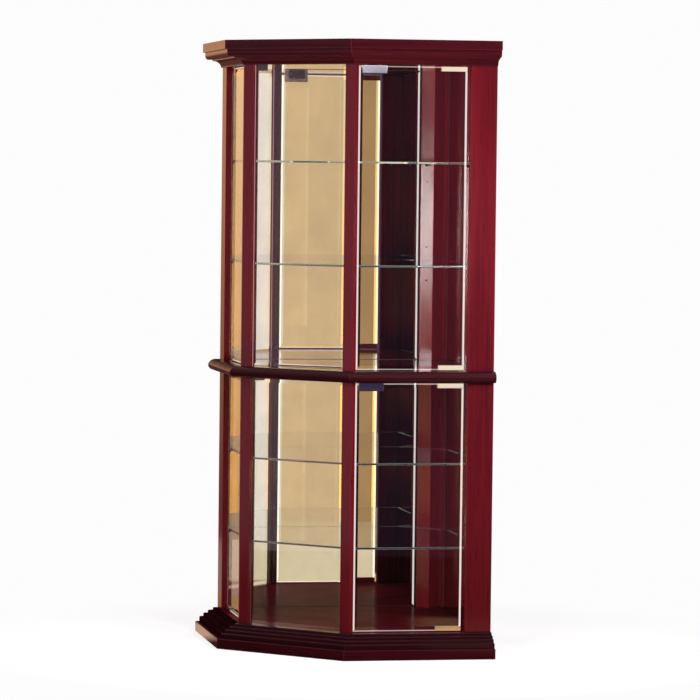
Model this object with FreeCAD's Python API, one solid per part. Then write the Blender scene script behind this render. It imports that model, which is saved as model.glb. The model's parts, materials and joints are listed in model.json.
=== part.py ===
"""Corner curio cabinet: a five-sided display cabinet that stands in the corner of a room.

Three facets face the room. The centre one holds a fixed pane, and each side one holds two frameless glass
doors, one above the other, hung on pivots beside the wide outer stile. Two mirrored backs stand against the
walls and meet a narrow corner board. Millimetres, +Z up, the front faces -Y, and the cabinet is symmetric
about X = 0. Side pieces are drawn in facet coordinates and placed on the left, and the right one is its mirror
image: s runs along the facet from the wall plane to the front corner, and d runs inward from its face.
"""

import FreeCAD, Part
import math
import os
from FreeCAD import Vector

os.makedirs("parts", exist_ok=True)

# ---- Driving dimensions: plan
side_width = 410.0        # side facet, from the wall plane to the front corner
centre_width = 388.0      # centre facet, from front corner to front corner
facet_turn = 45.0         # a square room corner leaves 45 degrees between neighbouring facets
frame_thickness = 22.0    # stiles, posts and rails, measured inward from the facet
stile_width = 76.0        # wide stile between the wall and the doors
post_centre_face = 34.0   # what a front post shows on the centre facet
post_side_face = 10.0     # what a front post shows on the side facet

# ---- Driving dimensions: levels
base_height = 70.0        # floor of the room to the floor of the lower case
lower_opening = 712.0
waist_thickness = 32.0
upper_opening = 866.0
cornice_height = 70.0
board_thickness = 18.0    # floor, ceiling and top boards, and the corner board

# ---- Mouldings: how far each stands out from the facets
cornice_overhang = 60.0
fascia_height = 26.0
fascia_overhang = 7.0     # fascia in front of the ovolo
fascia_shadow = 5.0       # upright fillet between the ovolo and the fascia
foot_reach = 5.0          # small foot under the cove
foot_rise = 2.5
cove_share = 0.52         # share of the overhang that the cove has reached at its top
cove_rise_share = 0.44    # share of the rise to the fascia that the cove takes
cove_lip = 3.0
cove_sagitta = 5.0
ovolo_share = 0.77        # share of the overhang where the ovolo starts
ovolo_step = 4.0
ovolo_sagitta = 2.6
waist_overhang = 36.0
waist_top_flat = 14.0
waist_under_flat = 20.0
base_overhang = 67.0
plinth_height = 29.0
plinth_thickness = 26.0
plinth_easing = 1.5
cap_reaches = (55.0, 43.0, 29.5, 14.5)    # the four steps of the base moulding, from the plinth up
upper_cap_rises = (10.0, 8.5, 7.5)        # the lowest step takes up the rest of the base
cap_rounding = 4.5

# ---- Back of the case
back_thickness = 9.0
back_inset = 2.0          # back panel sits this far inside the wall plane
back_rebate = 10.0        # depth of the rebate that takes it in the stile
back_lift = 20.0          # lower edge of the back panels above the floor
corner_cut = 34.0         # the room corner to the outer face of the corner board
corner_post_width = 46.0  # the post that stands in front of the corner board, in one piece with it
corner_post_reach = 54.0
mirror_thickness = 4.0
mirror_bevel = 12.0
mirror_bevel_depth = 1.2
mirror_gap = 1.0
mirror_corner_gap = 26.0  # the mirrors stop beside the corner post, short of the corner board

# ---- Glass
pane_thickness = 5.0
pane_bevel = 12.0
pane_bevel_depth = 1.6
lip_thickness = 8.0       # front lip that the centre panes lie against
lip_width = 8.0
pane_play = 0.5
shelf_thickness = 6.0
shelf_setback = 10.0      # shelf edge behind the frame, clear of the turning edge of a door
shelf_wall_gap = 3.0
shelf_easing = 0.8
lower_shelf_rises = (235.0, 475.0)    # undersides above the lower floor
upper_shelf_rises = (293.0, 587.0)    # undersides above the upper floor

# ---- Doors
door_recess = 15.0        # door glass behind the facet
door_stile_gap = 8.5      # shadow gap at the stile, which lets the door turn
door_post_gap = 2.0
door_end_gap = 3.5        # above and below a door
pivot_inset = 10.0        # pivot axis from the edge of the glass
clip_length = 76.0
clip_height = 15.0
clip_wall = 3.0
clip_bridge = 1.5
clip_rounding = 1.2
strike_length = 72.0
strike_height = 23.0
strike_wall = 1.2
strike_inset = 10.0
pivot_diameter = 5.0
pivot_engagement = 8.0
pivot_radial_gap = 0.05
pivot_end_gap = 0.3
bush_wall = 2.0
bush_floor = 3.0
bush_seat_gap = 0.02

# ---- Touch latches
latch_width = 34.0
latch_depth = 50.0
latch_height = 15.0
latch_corner = 2.5
latch_screw_edge = 1.0    # between a screw head and the side of the latch body
plunger_diameter = 9.0
plunger_length = 36.0
plunger_travel = 4.0
plunger_end_gap = 1.0     # left behind the plunger when it is pressed in
plunger_radial_gap = 0.08
plunger_rest_gap = 0.3
plunger_stand_off = 5.5   # what shows between the latch body and the strike plate
plunger_easing = 1.0

# ---- Shelf pins and screws
pin_diameter = 5.0
pin_hole_depth = 10.0
pin_shank = 8.0
pin_head_diameter = 6.4
pin_head_length = 13.0
pin_collar_diameter = 9.0
pin_collar_length = 1.5
pin_hole_gap = 0.03
pin_hole_pitch = 50.0     # the shelf can go one hole up or down
stile_pin_place = 0.6     # share of the stile's width from the wall
post_pin_place = 0.65     # share of the post's centre face from the corner
screw_diameter = 3.5
screw_head_diameter = 7.0
screw_head_height = 2.2
back_screw_length = 30.0
latch_screw_length = 25.0
latch_screw_spacing = 30.0
screws_per_row = 3
screw_edge = 60.0         # first screw of a row from the stile and the corner board
corner_screw_offset = 28.5    # beside the corner post, which the boards are notched round

# ---- Glazing beads
bead_rounding = 4.0

# ---- Sizes that follow
diagonal = math.sin(math.radians(facet_turn))
mitre_slope = math.tan(math.radians(facet_turn / 2))
wall_length = side_width + centre_width * diagonal
corner_depth = (wall_length + side_width) * diagonal
front_reach = max(base_overhang, cornice_overhang, waist_overhang)
overall_depth = front_reach + corner_depth - corner_cut
facet_y = front_reach - overall_depth / 2
corner_y = facet_y + corner_depth
board_inner_y = corner_y - corner_cut - board_thickness
corner_post_y = board_inner_y - corner_post_reach
half_centre = centre_width / 2
cap_rises = (base_height - plinth_height - sum(upper_cap_rises),) + upper_cap_rises

waist_bottom = base_height + lower_opening
waist_top = waist_bottom + waist_thickness
opening_top = waist_top + upper_opening
height = opening_top + cornice_height
frame_top = height - board_thickness
ceiling_top = opening_top + board_thickness

back_inner = back_inset + back_thickness
mirror_face = back_inner + mirror_thickness
post_side_s = side_width - post_side_face
door_start = stile_width + door_stile_gap
door_end = post_side_s - door_post_gap
door_back = door_recess + pane_thickness
pivot_s = door_start + pivot_inset
pivot_d = door_recess + pane_thickness / 2
strike_end = door_end - strike_inset
strike_middle = strike_end - strike_length / 2
latch_front = door_back + strike_wall + plunger_rest_gap + plunger_stand_off
bush_length = pivot_engagement + pivot_end_gap + bush_floor
bush_radius = pivot_diameter / 2 + pivot_radial_gap + bush_wall

# Each case is one storey of the cabinet: its name, its floor, its ceiling and the undersides of its shelves
cases = (
    ("lower", base_height, waist_bottom, [base_height + rise for rise in lower_shelf_rises]),
    ("upper", waist_top, opening_top, [waist_top + rise for rise in upper_shelf_rises]),
)
shelf_levels = [level for case in cases for level in case[3]]

nodes = {}


# ---- Drawing helpers

def facet_xy(s, d):
    """World X and Y of a point given in the left facet's coordinates."""
    x = (s + d - wall_length) * diagonal
    y = corner_y + (d - s - wall_length) * diagonal
    return x, y


def flipped(points):
    """The mirror image of plan points, in reverse order so that an outline closes."""
    return [(-x, y) for x, y in reversed(points)]


def prism(points, z0, z1):
    """A solid on a plan outline, between two levels."""
    corners = [Vector(x, y, z0) for x, y in points]
    outline = Part.makePolygon(corners + corners[:1])
    return Part.Face(outline).extrude(Vector(0, 0, z1 - z0))


def block(x0, x1, y0, y1, z0, z1):
    """A rectangular solid between two corners."""
    return Part.makeBox(x1 - x0, y1 - y0, z1 - z0, Vector(x0, y0, z0))


def rod(radius, start, direction, length):
    """A round bar from a point."""
    return Part.makeCylinder(radius, length, start, direction)


def place_left(shape):
    """Moves a solid drawn in facet coordinates to the left facet."""
    placed = shape.copy()
    placed.rotate(Vector(0, 0, 0), Vector(0, 0, 1), -facet_turn)
    x, y = facet_xy(0, 0)
    placed.translate(Vector(x, y, 0))
    return placed


def mirrored(shape):
    """The mirror image of a solid on the other side of the cabinet."""
    return shape.mirror(Vector(0, 0, 0), Vector(1, 0, 0))


def place_centre(shape):
    """Moves a solid drawn about the middle of the centre facet to its place."""
    placed = shape.copy()
    placed.translate(Vector(0, facet_y, 0))
    return placed


def add_pair(name, left_shape):
    """Keeps a side piece and its mirror image as two nodes."""
    nodes[name + "_left"] = left_shape
    nodes[name + "_right"] = mirrored(left_shape)


def group(shapes):
    """Several separate solids that share one node."""
    return Part.makeCompound(shapes)


def cut_all(shape, tools):
    """A solid with every tool cut out of it."""
    if not tools:
        return shape
    return shape.cut(tools)


def sagged(start, end, sagitta):
    """The middle point of an arc, which bulges to the left of its chord by the sagitta."""
    chord_x = end[0] - start[0]
    chord_y = end[1] - start[1]
    length = math.hypot(chord_x, chord_y)
    middle_x = (start[0] + end[0]) / 2 - chord_y / length * sagitta
    middle_y = (start[1] + end[1]) / 2 + chord_x / length * sagitta
    return middle_x, middle_y


def flat_sagitta(run, rise):
    """The sagitta of an arc that leaves a level line and climbs by rise over run."""
    chord = math.hypot(run, rise)
    return chord / 2 * math.tan(math.atan2(rise, run) / 2)


def moulding_face(start, steps):
    """A moulding's section as a face across the facet. A point is (out, level), and a step is the next point,
    with the sagitta of the arc that leads to it, or 0 for a straight line."""
    edges = []
    here = start
    for point, sagitta in steps + [(start, 0)]:
        here_3d = Vector(0, -here[0], here[1])
        point_3d = Vector(0, -point[0], point[1])
        if sagitta:
            middle = sagged(here, point, sagitta)
            edges.append(Part.Arc(here_3d, Vector(0, -middle[0], middle[1]), point_3d).toShape())
        else:
            edges.append(Part.LineSegment(here_3d, point_3d).toShape())
        here = point
    return Part.Face(Part.Wire(edges))


def mitred_run(face, reach):
    """A moulding on all three facets, mitred at the front corners and flush with the wall planes.
    Returns the left length and the centre length."""
    low = face.BoundBox.ZMin
    high = face.BoundBox.ZMax
    spread = reach * mitre_slope
    side_bar = face.extrude(Vector(side_width + spread, 0, 0))
    side_room = prism([(0, 0), (side_width, 0), (side_width + spread, -reach), (0, -reach)], low, high)
    centre_bar = face.extrude(Vector(centre_width + 2 * spread, 0, 0))
    centre_bar.translate(Vector(-half_centre - spread, 0, 0))
    ends = [(half_centre, 0), (half_centre + spread, -reach)]
    centre_room = prism(ends + flipped(ends), low, high)
    return place_left(side_bar.common(side_room)), place_centre(centre_bar.common(centre_room))


def add_moulding(name, face, reach):
    """Keeps the three lengths of a moulding as nodes."""
    left, centre = mitred_run(face, reach)
    add_pair(name, left)
    nodes[name + "_centre"] = centre


def bevelled_sheet(length, depth, tall, bevel, bevel_depth):
    """A sheet of glass in the XZ plane with its front edges ground to a slope. The front faces -Y."""
    def rectangle(inset, y):
        corners = [
            Vector(inset, y, inset),
            Vector(length - inset, y, inset),
            Vector(length - inset, y, tall - inset),
            Vector(inset, y, tall - inset),
        ]
        return Part.makePolygon(corners + corners[:1])

    body = block(0, length, bevel_depth, depth, 0, tall)
    front = Part.makeLoft([rectangle(0, bevel_depth), rectangle(bevel, 0)], True, True)
    return body.fuse(front).removeSplitter()


# ---- Frame

def stile_blank():
    """The wide stile before its rebate and holes, in facet coordinates."""
    return block(0, stile_width, 0, frame_thickness, 0, frame_top)


def post_outline():
    """Plan of the left front post, which turns the corner between two facets."""
    corner = (-half_centre, facet_y)
    face_end = (-half_centre + post_centre_face, facet_y)
    face_back = (face_end[0], facet_y + frame_thickness)
    inner_corner = (-half_centre + frame_thickness * mitre_slope, facet_y + frame_thickness)
    side_back = facet_xy(post_side_s, frame_thickness)
    side_front = facet_xy(post_side_s, 0)
    return [corner, face_end, face_back, inner_corner, side_back, side_front]


def post_blank():
    """The left front post before its rebates and holes."""
    return prism(post_outline(), 0, frame_top)


def pin_sites(level):
    """Where the left half's pins of one shelf enter the frame: point and direction into the case."""
    stile_x, stile_y = facet_xy(stile_width * stile_pin_place, frame_thickness)
    post_x = -half_centre + post_centre_face * post_pin_place
    return {
        "stile": (Vector(stile_x, stile_y, level), Vector(diagonal, diagonal, 0)),
        "post": (Vector(post_x, facet_y + frame_thickness, level), Vector(0, 1, 0)),
        "corner": (Vector(0, corner_post_y, level), Vector(0, -1, 0)),
    }


def pin_axis_level(shelf_level):
    """A pin's axis lies under the shelf by the radius of its head."""
    return shelf_level - pin_head_diameter / 2


def pin_holes(place):
    """Three holes a shelf in one piece of the frame, one used and one spare above and below."""
    holes = []
    for shelf_level in shelf_levels:
        for step in (-1, 0, 1):
            level = pin_axis_level(shelf_level) + step * pin_hole_pitch
            point, inward = pin_sites(level)[place]
            radius = pin_diameter / 2 + pin_hole_gap
            holes.append(rod(radius, point, inward.negative(), pin_hole_depth))
    return holes


def pane_rebates():
    """Room behind the front lips for the two centre panes and their beads, drawn about the centre."""
    sight = half_centre - post_centre_face
    rooms = []
    for _, floor, ceiling, _ in cases:
        rooms.append(block(-sight - lip_width, sight + lip_width, lip_thickness, frame_thickness,
                           floor - lip_width, ceiling + lip_width))
    return [place_centre(room) for room in rooms]


def corner_post_blank():
    """The post in front of the corner board, before its holes."""
    half_width = corner_post_width / 2
    return block(-half_width, half_width, corner_post_y, board_inner_y, 0, frame_top)


def make_frame():
    """Two wide stiles, two front posts and the corner board with its post, which all stand on the floor."""
    rebate = block(back_inset, back_inner, frame_thickness - back_rebate, frame_thickness,
                   back_lift, frame_top)
    stile = place_left(stile_blank().cut(rebate))
    add_pair("outer_stile", cut_all(stile, pin_holes("stile")))

    post = cut_all(post_blank(), pane_rebates())
    add_pair("front_post", cut_all(post, pin_holes("post")))

    outer_y = corner_y - corner_cut
    half_outer = corner_cut
    half_inner = corner_cut + board_thickness
    half_board = [(half_inner, board_inner_y), (half_outer, outer_y)]
    board = prism(half_board + flipped(half_board), 0, frame_top)
    board = cut_all(board.fuse(corner_post_blank()), pin_holes("corner"))
    nodes["corner_board"] = cut_all(board, corner_screws())


# ---- Boards between the frame

def board_outline():
    """Plan of the boards inside the backs, before the frame is notched out."""
    wall_end = facet_xy(back_inner, 0)
    front_corner = (-half_centre, facet_y)
    back_corner = (-corner_cut - board_thickness + back_inner / diagonal, board_inner_y)
    half_plan = [back_corner, wall_end, front_corner]
    return half_plan + flipped(half_plan)


def notched_board(z0, z1):
    """A board between two levels, notched round the stiles and all three posts."""
    stile = place_left(stile_blank())
    post = post_blank()
    frame = [stile, mirrored(stile), post, mirrored(post), corner_post_blank()]
    return prism(board_outline(), z0, z1).cut(frame)


def make_boards():
    """Lower floor, the board at the waist, the ceiling of the upper case and the top."""
    levels = {
        "bottom_board": (base_height - board_thickness, base_height),
        "waist_board": (waist_bottom, waist_top),
        "ceiling_board": (opening_top, ceiling_top),
    }
    for name, (z0, z1) in levels.items():
        board = cut_all(notched_board(z0, z1), pane_rebates())
        board = cut_all(board, bush_rooms())
        nodes[name] = cut_all(board, all_screws())

    half_top = [
        (-corner_cut, corner_y - corner_cut),
        facet_xy(0, 0),
        (-half_centre, facet_y),
    ]
    nodes["top_board"] = prism(half_top + flipped(half_top), frame_top, height)


def rail_group(z0, z1):
    """Three rails between the stiles and the posts, drawn to sit behind a moulding."""
    side = place_left(block(stile_width, post_side_s, 0, frame_thickness, z0, z1))
    sight = half_centre - post_centre_face
    centre = place_centre(block(-sight, sight, 0, frame_thickness, z0, z1))
    return group([side, centre, mirrored(side)])


def make_rails():
    """Rails that back the base moulding and the cornice."""
    nodes["base_rails"] = rail_group(0, base_height - board_thickness)
    nodes["cornice_rails"] = rail_group(ceiling_top, frame_top)


# ---- Mouldings

def cornice_face():
    """Cornice section: a cove on a small foot, an ovolo above it and the tall fascia."""
    cove_reach = cove_share * cornice_overhang
    ovolo_start = ovolo_share * cornice_overhang
    ovolo_reach = cornice_overhang - fascia_overhang
    fascia_bottom = height - fascia_height
    cove_top = opening_top + cove_rise_share * (fascia_bottom - opening_top)
    ovolo_bottom = cove_top + ovolo_step
    ovolo_top = fascia_bottom - fascia_shadow
    return moulding_face((0, opening_top), [
        ((foot_reach, opening_top), 0),
        ((foot_reach, opening_top + foot_rise), 0),
        ((cove_reach - cove_lip, cove_top), cove_sagitta),
        ((cove_reach, cove_top), 0),
        ((cove_reach, ovolo_bottom), 0),
        ((ovolo_start, ovolo_bottom), 0),
        ((ovolo_reach, ovolo_top), -ovolo_sagitta),
        ((ovolo_reach, fascia_bottom), 0),
        ((cornice_overhang, fascia_bottom), 0),
        ((cornice_overhang, height), 0),
        ((0, height), 0),
    ])


def waist_face():
    """Waist section: a full nose with a flat top, a little flatter above than below."""
    nose_level = (waist_bottom + waist_top) / 2
    under_arc = flat_sagitta(waist_overhang - waist_under_flat, nose_level - waist_bottom)
    upper_arc = flat_sagitta(waist_overhang - waist_top_flat, waist_top - nose_level)
    return moulding_face((0, waist_bottom), [
        ((waist_under_flat, waist_bottom), 0),
        ((waist_overhang, nose_level), -under_arc),
        ((waist_top_flat, waist_top), -upper_arc),
        ((0, waist_top), 0),
    ])


def cap_face():
    """Base moulding section: four rounded steps that fall from the case to the plinth."""
    points = []
    level = plinth_height
    sagitta = cap_rounding * (1 - math.cos(math.pi / 4))
    for reach, rise in zip(cap_reaches, cap_rises):
        points.append(((reach, level), 0))
        level = level + rise
        points.append(((reach, level - cap_rounding), 0))
        points.append(((reach - cap_rounding, level), -sagitta))
    points.append(((0, level), 0))
    return moulding_face((0, plinth_height), points)


def plinth_face():
    """Plinth section: a board on edge with its top arris eased."""
    inner = base_overhang - plinth_thickness
    return moulding_face((inner, 0), [
        ((base_overhang, 0), 0),
        ((base_overhang, plinth_height - plinth_easing), 0),
        ((base_overhang - plinth_easing, plinth_height), 0),
        ((inner, plinth_height), 0),
    ])


def make_mouldings():
    """Cornice, waist, base moulding and plinth, each in three mitred lengths."""
    add_moulding("cornice", cornice_face(), cornice_overhang)
    add_moulding("waist_moulding", waist_face(), waist_overhang)
    add_moulding("base_moulding", cap_face(), cap_reaches[0])
    add_moulding("plinth", plinth_face(), base_overhang)


# ---- Backs and mirrors

def back_end_d(s):
    """How far along the wall the corner board's inner face crosses a line at a given s."""
    return wall_length + s - (corner_cut + board_thickness) / diagonal


def make_backs():
    """A back panel on each wall, let into the stile and butted on the corner board."""
    points = [
        facet_xy(back_inset, frame_thickness - back_rebate),
        facet_xy(back_inner, frame_thickness - back_rebate),
        facet_xy(back_inner, back_end_d(back_inner)),
        facet_xy(back_inset, back_end_d(back_inset)),
    ]
    panel = prism(points, back_lift, frame_top)
    add_pair("back_panel", cut_all(panel, back_screws()))


def make_mirrors():
    """A bevelled mirror on each back, in the lower and in the upper case."""
    start = frame_thickness + mirror_gap
    length = back_end_d(back_inner) - mirror_corner_gap - start
    for name, floor, ceiling, _ in cases:
        tall = ceiling - floor - 2 * mirror_gap
        sheet = bevelled_sheet(length, mirror_thickness, tall, mirror_bevel, mirror_bevel_depth)
        sheet.rotate(Vector(0, 0, 0), Vector(0, 0, 1), 90)
        sheet.translate(Vector(mirror_face, start, floor + mirror_gap))
        add_pair(name + "_mirror", place_left(sheet))


# ---- Fixed glass

def make_centre_panes():
    """Two fixed bevelled panes in the centre facet, each held from behind by four beads."""
    sight = half_centre - post_centre_face
    reach = lip_width - pane_play
    beads = []
    for name, floor, ceiling, _ in cases:
        width = 2 * (sight + reach)
        tall = ceiling - floor + 2 * reach
        pane = bevelled_sheet(width, pane_thickness, tall, pane_bevel + reach, pane_bevel_depth)
        pane.translate(Vector(-sight - reach, lip_thickness, floor - reach))
        nodes["centre_pane_" + name] = place_centre(pane)
        beads += bead_frame(sight, floor, ceiling)
    nodes["glazing_beads"] = group(beads)


def bead_frame(sight, floor, ceiling):
    """Four beads behind a centre pane: the upright ones stand between the level ones."""
    front = lip_thickness + pane_thickness
    out = sight + lip_width
    level_bead = block(-out, out, front, frame_thickness, floor - lip_width, floor)
    top_bead = block(-out, out, front, frame_thickness, ceiling, ceiling + lip_width)
    upright = block(-out, -sight, front, frame_thickness, floor, ceiling)
    edge = [e for e in upright.Edges if is_upright_edge(e, -sight, frame_thickness)]
    upright = upright.makeFillet(bead_rounding, edge)
    beads = [level_bead, top_bead, upright, mirrored(upright)]
    return [place_centre(bead) for bead in beads]


def is_upright_edge(edge, x, y):
    """Whether an edge stands upright at a given place in plan."""
    box = edge.BoundBox
    at_place = abs(box.Center.x - x) < 1e-3 and abs(box.Center.y - y) < 1e-3
    return at_place and box.ZLength > 1.0


def shelf_outline():
    """Plan of a glass shelf: it follows the facets and the backs, with the corner taken off."""
    front = frame_thickness + shelf_setback
    wall = mirror_face + shelf_wall_gap
    back_y = corner_post_y - shelf_wall_gap
    half_plan = [
        (back_y - corner_y + wall / diagonal, back_y),
        facet_xy(wall, front),
        (-half_centre + front * mitre_slope, facet_y + front),
    ]
    return half_plan + flipped(half_plan)


def make_shelves():
    """Two glass shelves in each case, with polished edges."""
    for name, _, _, levels in cases:
        for number, level in enumerate(levels, start=1):
            shelf = prism(shelf_outline(), level, level + shelf_thickness)
            edges = [e for e in shelf.Edges if e.BoundBox.ZLength < 1e-3]
            nodes[f"{name}_shelf_{number}"] = shelf.makeChamfer(shelf_easing, edges)


def shelf_pin(point, inward):
    """One pin: a shank in the frame, a collar on its face and a head under the shelf."""
    shank = rod(pin_diameter / 2, point - inward * pin_shank, inward, pin_shank + pin_collar_length)
    collar = rod(pin_collar_diameter / 2, point, inward, pin_collar_length)
    head = rod(pin_head_diameter / 2, point, inward, pin_head_length)
    return shank.fuse([collar, head]).removeSplitter()


def make_shelf_pins():
    """Five pins a shelf: one in each stile and front post, and one in the corner post."""
    pins = []
    for shelf_level in shelf_levels:
        sites = pin_sites(pin_axis_level(shelf_level))
        stile_pin = shelf_pin(*sites["stile"])
        post_pin = shelf_pin(*sites["post"])
        corner_pin = shelf_pin(*sites["corner"])
        pins += [stile_pin, mirrored(stile_pin), post_pin, mirrored(post_pin), corner_pin]
    nodes["shelf_pins"] = group(pins)


# ---- Doors

def door_levels(floor, ceiling):
    """Lower and upper edge of the glass of a door."""
    return floor + door_end_gap, ceiling - door_end_gap


def channel_clip(length, tall, wall, bridge):
    """A U-shaped clip that straddles the upper edge of the glass. Its bridge tops out at +bridge."""
    outer = block(0, length, -wall, pane_thickness + wall, bridge - tall, bridge)
    slot = block(0, length, 0, pane_thickness, bridge - tall, 0)
    return outer.cut(slot)


def upside_down(shape, level):
    """A solid turned over about a level."""
    return shape.mirror(Vector(0, 0, level), Vector(0, 0, 1))


def hinge_clip():
    """A pivot clip for the upper edge of the glass, with its pin, in facet coordinates at level 0."""
    clip = channel_clip(clip_length, clip_height, clip_wall, clip_bridge)
    front_edges = [e for e in clip.Edges if abs(e.BoundBox.YMax + clip_wall) < 1e-3]
    clip = clip.makeFillet(clip_rounding, front_edges)
    clip.translate(Vector(door_start, door_recess, 0))
    pin_reach = door_end_gap - clip_bridge + pivot_engagement
    pin = rod(pivot_diameter / 2, Vector(pivot_s, pivot_d, clip_bridge), Vector(0, 0, 1), pin_reach)
    return clip.fuse(pin)


def strike_clip():
    """The catch plate for the upper edge of the glass, in facet coordinates at level 0."""
    clip = channel_clip(strike_length, strike_height, strike_wall, strike_wall)
    clip.translate(Vector(strike_end - strike_length, door_recess, 0))
    return clip


def make_doors():
    """Four glass doors, each with a pivot clip above and below and a plate for its latch."""
    for name, floor, ceiling, _ in cases:
        low, high = door_levels(floor, ceiling)
        glass = bevelled_sheet(door_end - door_start, pane_thickness, high - low, pane_bevel,
                               pane_bevel_depth)
        glass.translate(Vector(door_start, door_recess, low))
        add_pair(name + "_door_glass", place_left(glass))

        top_clip = hinge_clip()
        bottom_clip = upside_down(hinge_clip(), 0)
        top_clip.translate(Vector(0, 0, high))
        bottom_clip.translate(Vector(0, 0, low))
        add_pair(name + "_hinge_clips", place_left(group([top_clip, bottom_clip])))

        strike = strike_clip()
        strike.translate(Vector(0, 0, high))
        add_pair(name + "_strike_plate", place_left(strike))


def bush(level, up):
    """A blind bush for a pivot pin, open towards the door. up is 1 above a door and -1 below it."""
    axis = Vector(0, 0, up)
    place = Vector(pivot_s, pivot_d, level)
    body = rod(bush_radius, place, axis, bush_length)
    bore = rod(pivot_diameter / 2 + pivot_radial_gap, place, axis, pivot_engagement + pivot_end_gap)
    return body.cut(bore)


def bush_room(level, up):
    """The blind hole in a board that takes a bush."""
    return rod(bush_radius + bush_seat_gap, Vector(pivot_s, pivot_d, level), Vector(0, 0, up), bush_length)


def both_sides(shapes):
    """Solids in facet coordinates, placed on the left and mirrored to the right."""
    placed = [place_left(shape) for shape in shapes]
    return placed + [mirrored(shape) for shape in placed]


def bush_rooms():
    """All eight holes for the bushes."""
    rooms = []
    for _, floor, ceiling, _ in cases:
        rooms.append(bush_room(floor, -1))
        rooms.append(bush_room(ceiling, 1))
    return both_sides(rooms)


def make_bushes():
    """Eight bushes, one at each end of each door."""
    bushes = []
    for _, floor, ceiling, _ in cases:
        bushes.append(bush(floor, -1))
        bushes.append(bush(ceiling, 1))
    nodes["pivot_bushes"] = group(both_sides(bushes))


# ---- Touch latches

def latch_axis(ceiling):
    """Front centre of a latch body under a ceiling."""
    return Vector(strike_middle, latch_front, ceiling - latch_height / 2)


def latch_body(ceiling):
    """The housing of a touch latch, with the bore for its plunger and two screw holes."""
    front = latch_axis(ceiling)
    body = block(strike_middle - latch_width / 2, strike_middle + latch_width / 2,
                 latch_front, latch_front + latch_depth, ceiling - latch_height, ceiling)
    edges = [e for e in body.Edges if e.BoundBox.ZLength > latch_height / 2]
    body = body.makeFillet(latch_corner, edges)
    bore_radius = plunger_diameter / 2 + plunger_radial_gap
    bore_depth = plunger_length - plunger_stand_off + plunger_travel + plunger_end_gap
    bore = rod(bore_radius, front, Vector(0, 1, 0), bore_depth)
    return body.cut([bore] + latch_screws(ceiling))


def plunger(ceiling):
    """The sprung plunger, with its magnetic tip a hair behind the strike plate."""
    tip = latch_axis(ceiling) - Vector(0, plunger_stand_off, 0)
    bar = rod(plunger_diameter / 2, tip, Vector(0, 1, 0), plunger_length)
    edges = [e for e in bar.Edges if abs(e.BoundBox.YMax - tip.y) < 1e-3]
    return bar.makeChamfer(plunger_easing, edges)


def screw(head_point, axis, length):
    """A countersunk screw from the face of its head."""
    head = Part.makeCone(screw_head_diameter / 2, screw_diameter / 2, screw_head_height, head_point, axis)
    shank = rod(screw_diameter / 2, head_point, axis, length)
    return shank.fuse(head).removeSplitter()


def latch_screws(ceiling):
    """Two screws that hold a latch up against the board above it, beside the plunger's bore."""
    level = ceiling - latch_height
    screws = []
    for side in (-1, 1):
        s = strike_middle + side * (latch_width / 2 - screw_head_diameter / 2 - latch_screw_edge)
        d = latch_front + latch_depth / 2 + side * (latch_screw_spacing / 2)
        screws.append(screw(Vector(s, d, level), Vector(0, 0, 1), latch_screw_length))
    return screws


def make_latches():
    """Four touch latches: housings fixed under the boards, and plungers that slide in them."""
    housings = []
    for name, _, ceiling, _ in cases:
        housings.append(latch_body(ceiling))
        add_pair(name + "_latch_plunger", place_left(plunger(ceiling)))
    nodes["latch_housings"] = group(both_sides(housings))


# ---- Screws

def screw_levels():
    """Middle of each board that the backs are screwed to."""
    return [
        base_height - board_thickness / 2,
        (waist_bottom + waist_top) / 2,
        opening_top + board_thickness / 2,
    ]


def back_screws():
    """Rows of screws through the left back panel into the edges of the boards."""
    first = frame_thickness + screw_edge
    last = back_end_d(back_inner) - screw_edge
    screws = []
    for level in screw_levels():
        for number in range(screws_per_row):
            d = first + (last - first) * number / (screws_per_row - 1)
            screws.append(place_left(screw(Vector(back_inset, d, level), Vector(1, 0, 0), back_screw_length)))
    return screws


def corner_screws():
    """Two screws at each board through the corner board, one on either side of its post."""
    start_y = corner_y - corner_cut
    length = back_screw_length + board_thickness - back_thickness
    screws = []
    for level in screw_levels():
        for side in (-1, 1):
            start = Vector(side * corner_screw_offset, start_y, level)
            screws.append(screw(start, Vector(0, -1, 0), length))
    return screws


def all_screws():
    """Every screw of the cabinet."""
    left_backs = back_screws()
    latch_sets = []
    for _, _, ceiling, _ in cases:
        latch_sets += latch_screws(ceiling)
    return left_backs + [mirrored(item) for item in left_backs] + corner_screws() + both_sides(latch_sets)


def make_screws():
    """The screws of the backs and the latches, as separate solids."""
    nodes["screws"] = group(all_screws())


def main():
    make_frame()
    make_boards()
    make_rails()
    make_mouldings()
    make_backs()
    make_mirrors()
    make_centre_panes()
    make_shelves()
    make_shelf_pins()
    make_doors()
    make_bushes()
    make_latches()
    make_screws()
    for name, shape in nodes.items():
        shape.exportStep(f"parts/{name}.step")
        box = shape.BoundBox
        print(f"{name}: {len(shape.Solids)} solids, valid {shape.isValid()}, "
              f"{box.XLength:.1f} x {box.YLength:.1f} x {box.ZLength:.1f}")
    whole = group(list(nodes.values())).BoundBox
    print(f"{len(nodes)} nodes, X {whole.XMin:.1f} {whole.XMax:.1f}, Y {whole.YMin:.1f} {whole.YMax:.1f}, "
          f"Z {whole.ZMin:.1f} {whole.ZMax:.1f}")


main()
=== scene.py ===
# %% [markdown]
# # A corner curio cabinet
#
# This lesson dresses a tall display cabinet that stands in the corner of a room. The solids come ready made, in
# metres, standing on the floor with the middle of the footprint at the origin. The front faces -Y and the room
# corner is at +Y. We add what the eye needs: rounded mouldings, brass and chrome fittings, lacquered wood with
# grain, bevelled glass, mirrors, a camera and soft studio light.

# %% Load the solids
import bpy
import json
import math
from mathutils import Matrix, Vector

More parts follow.
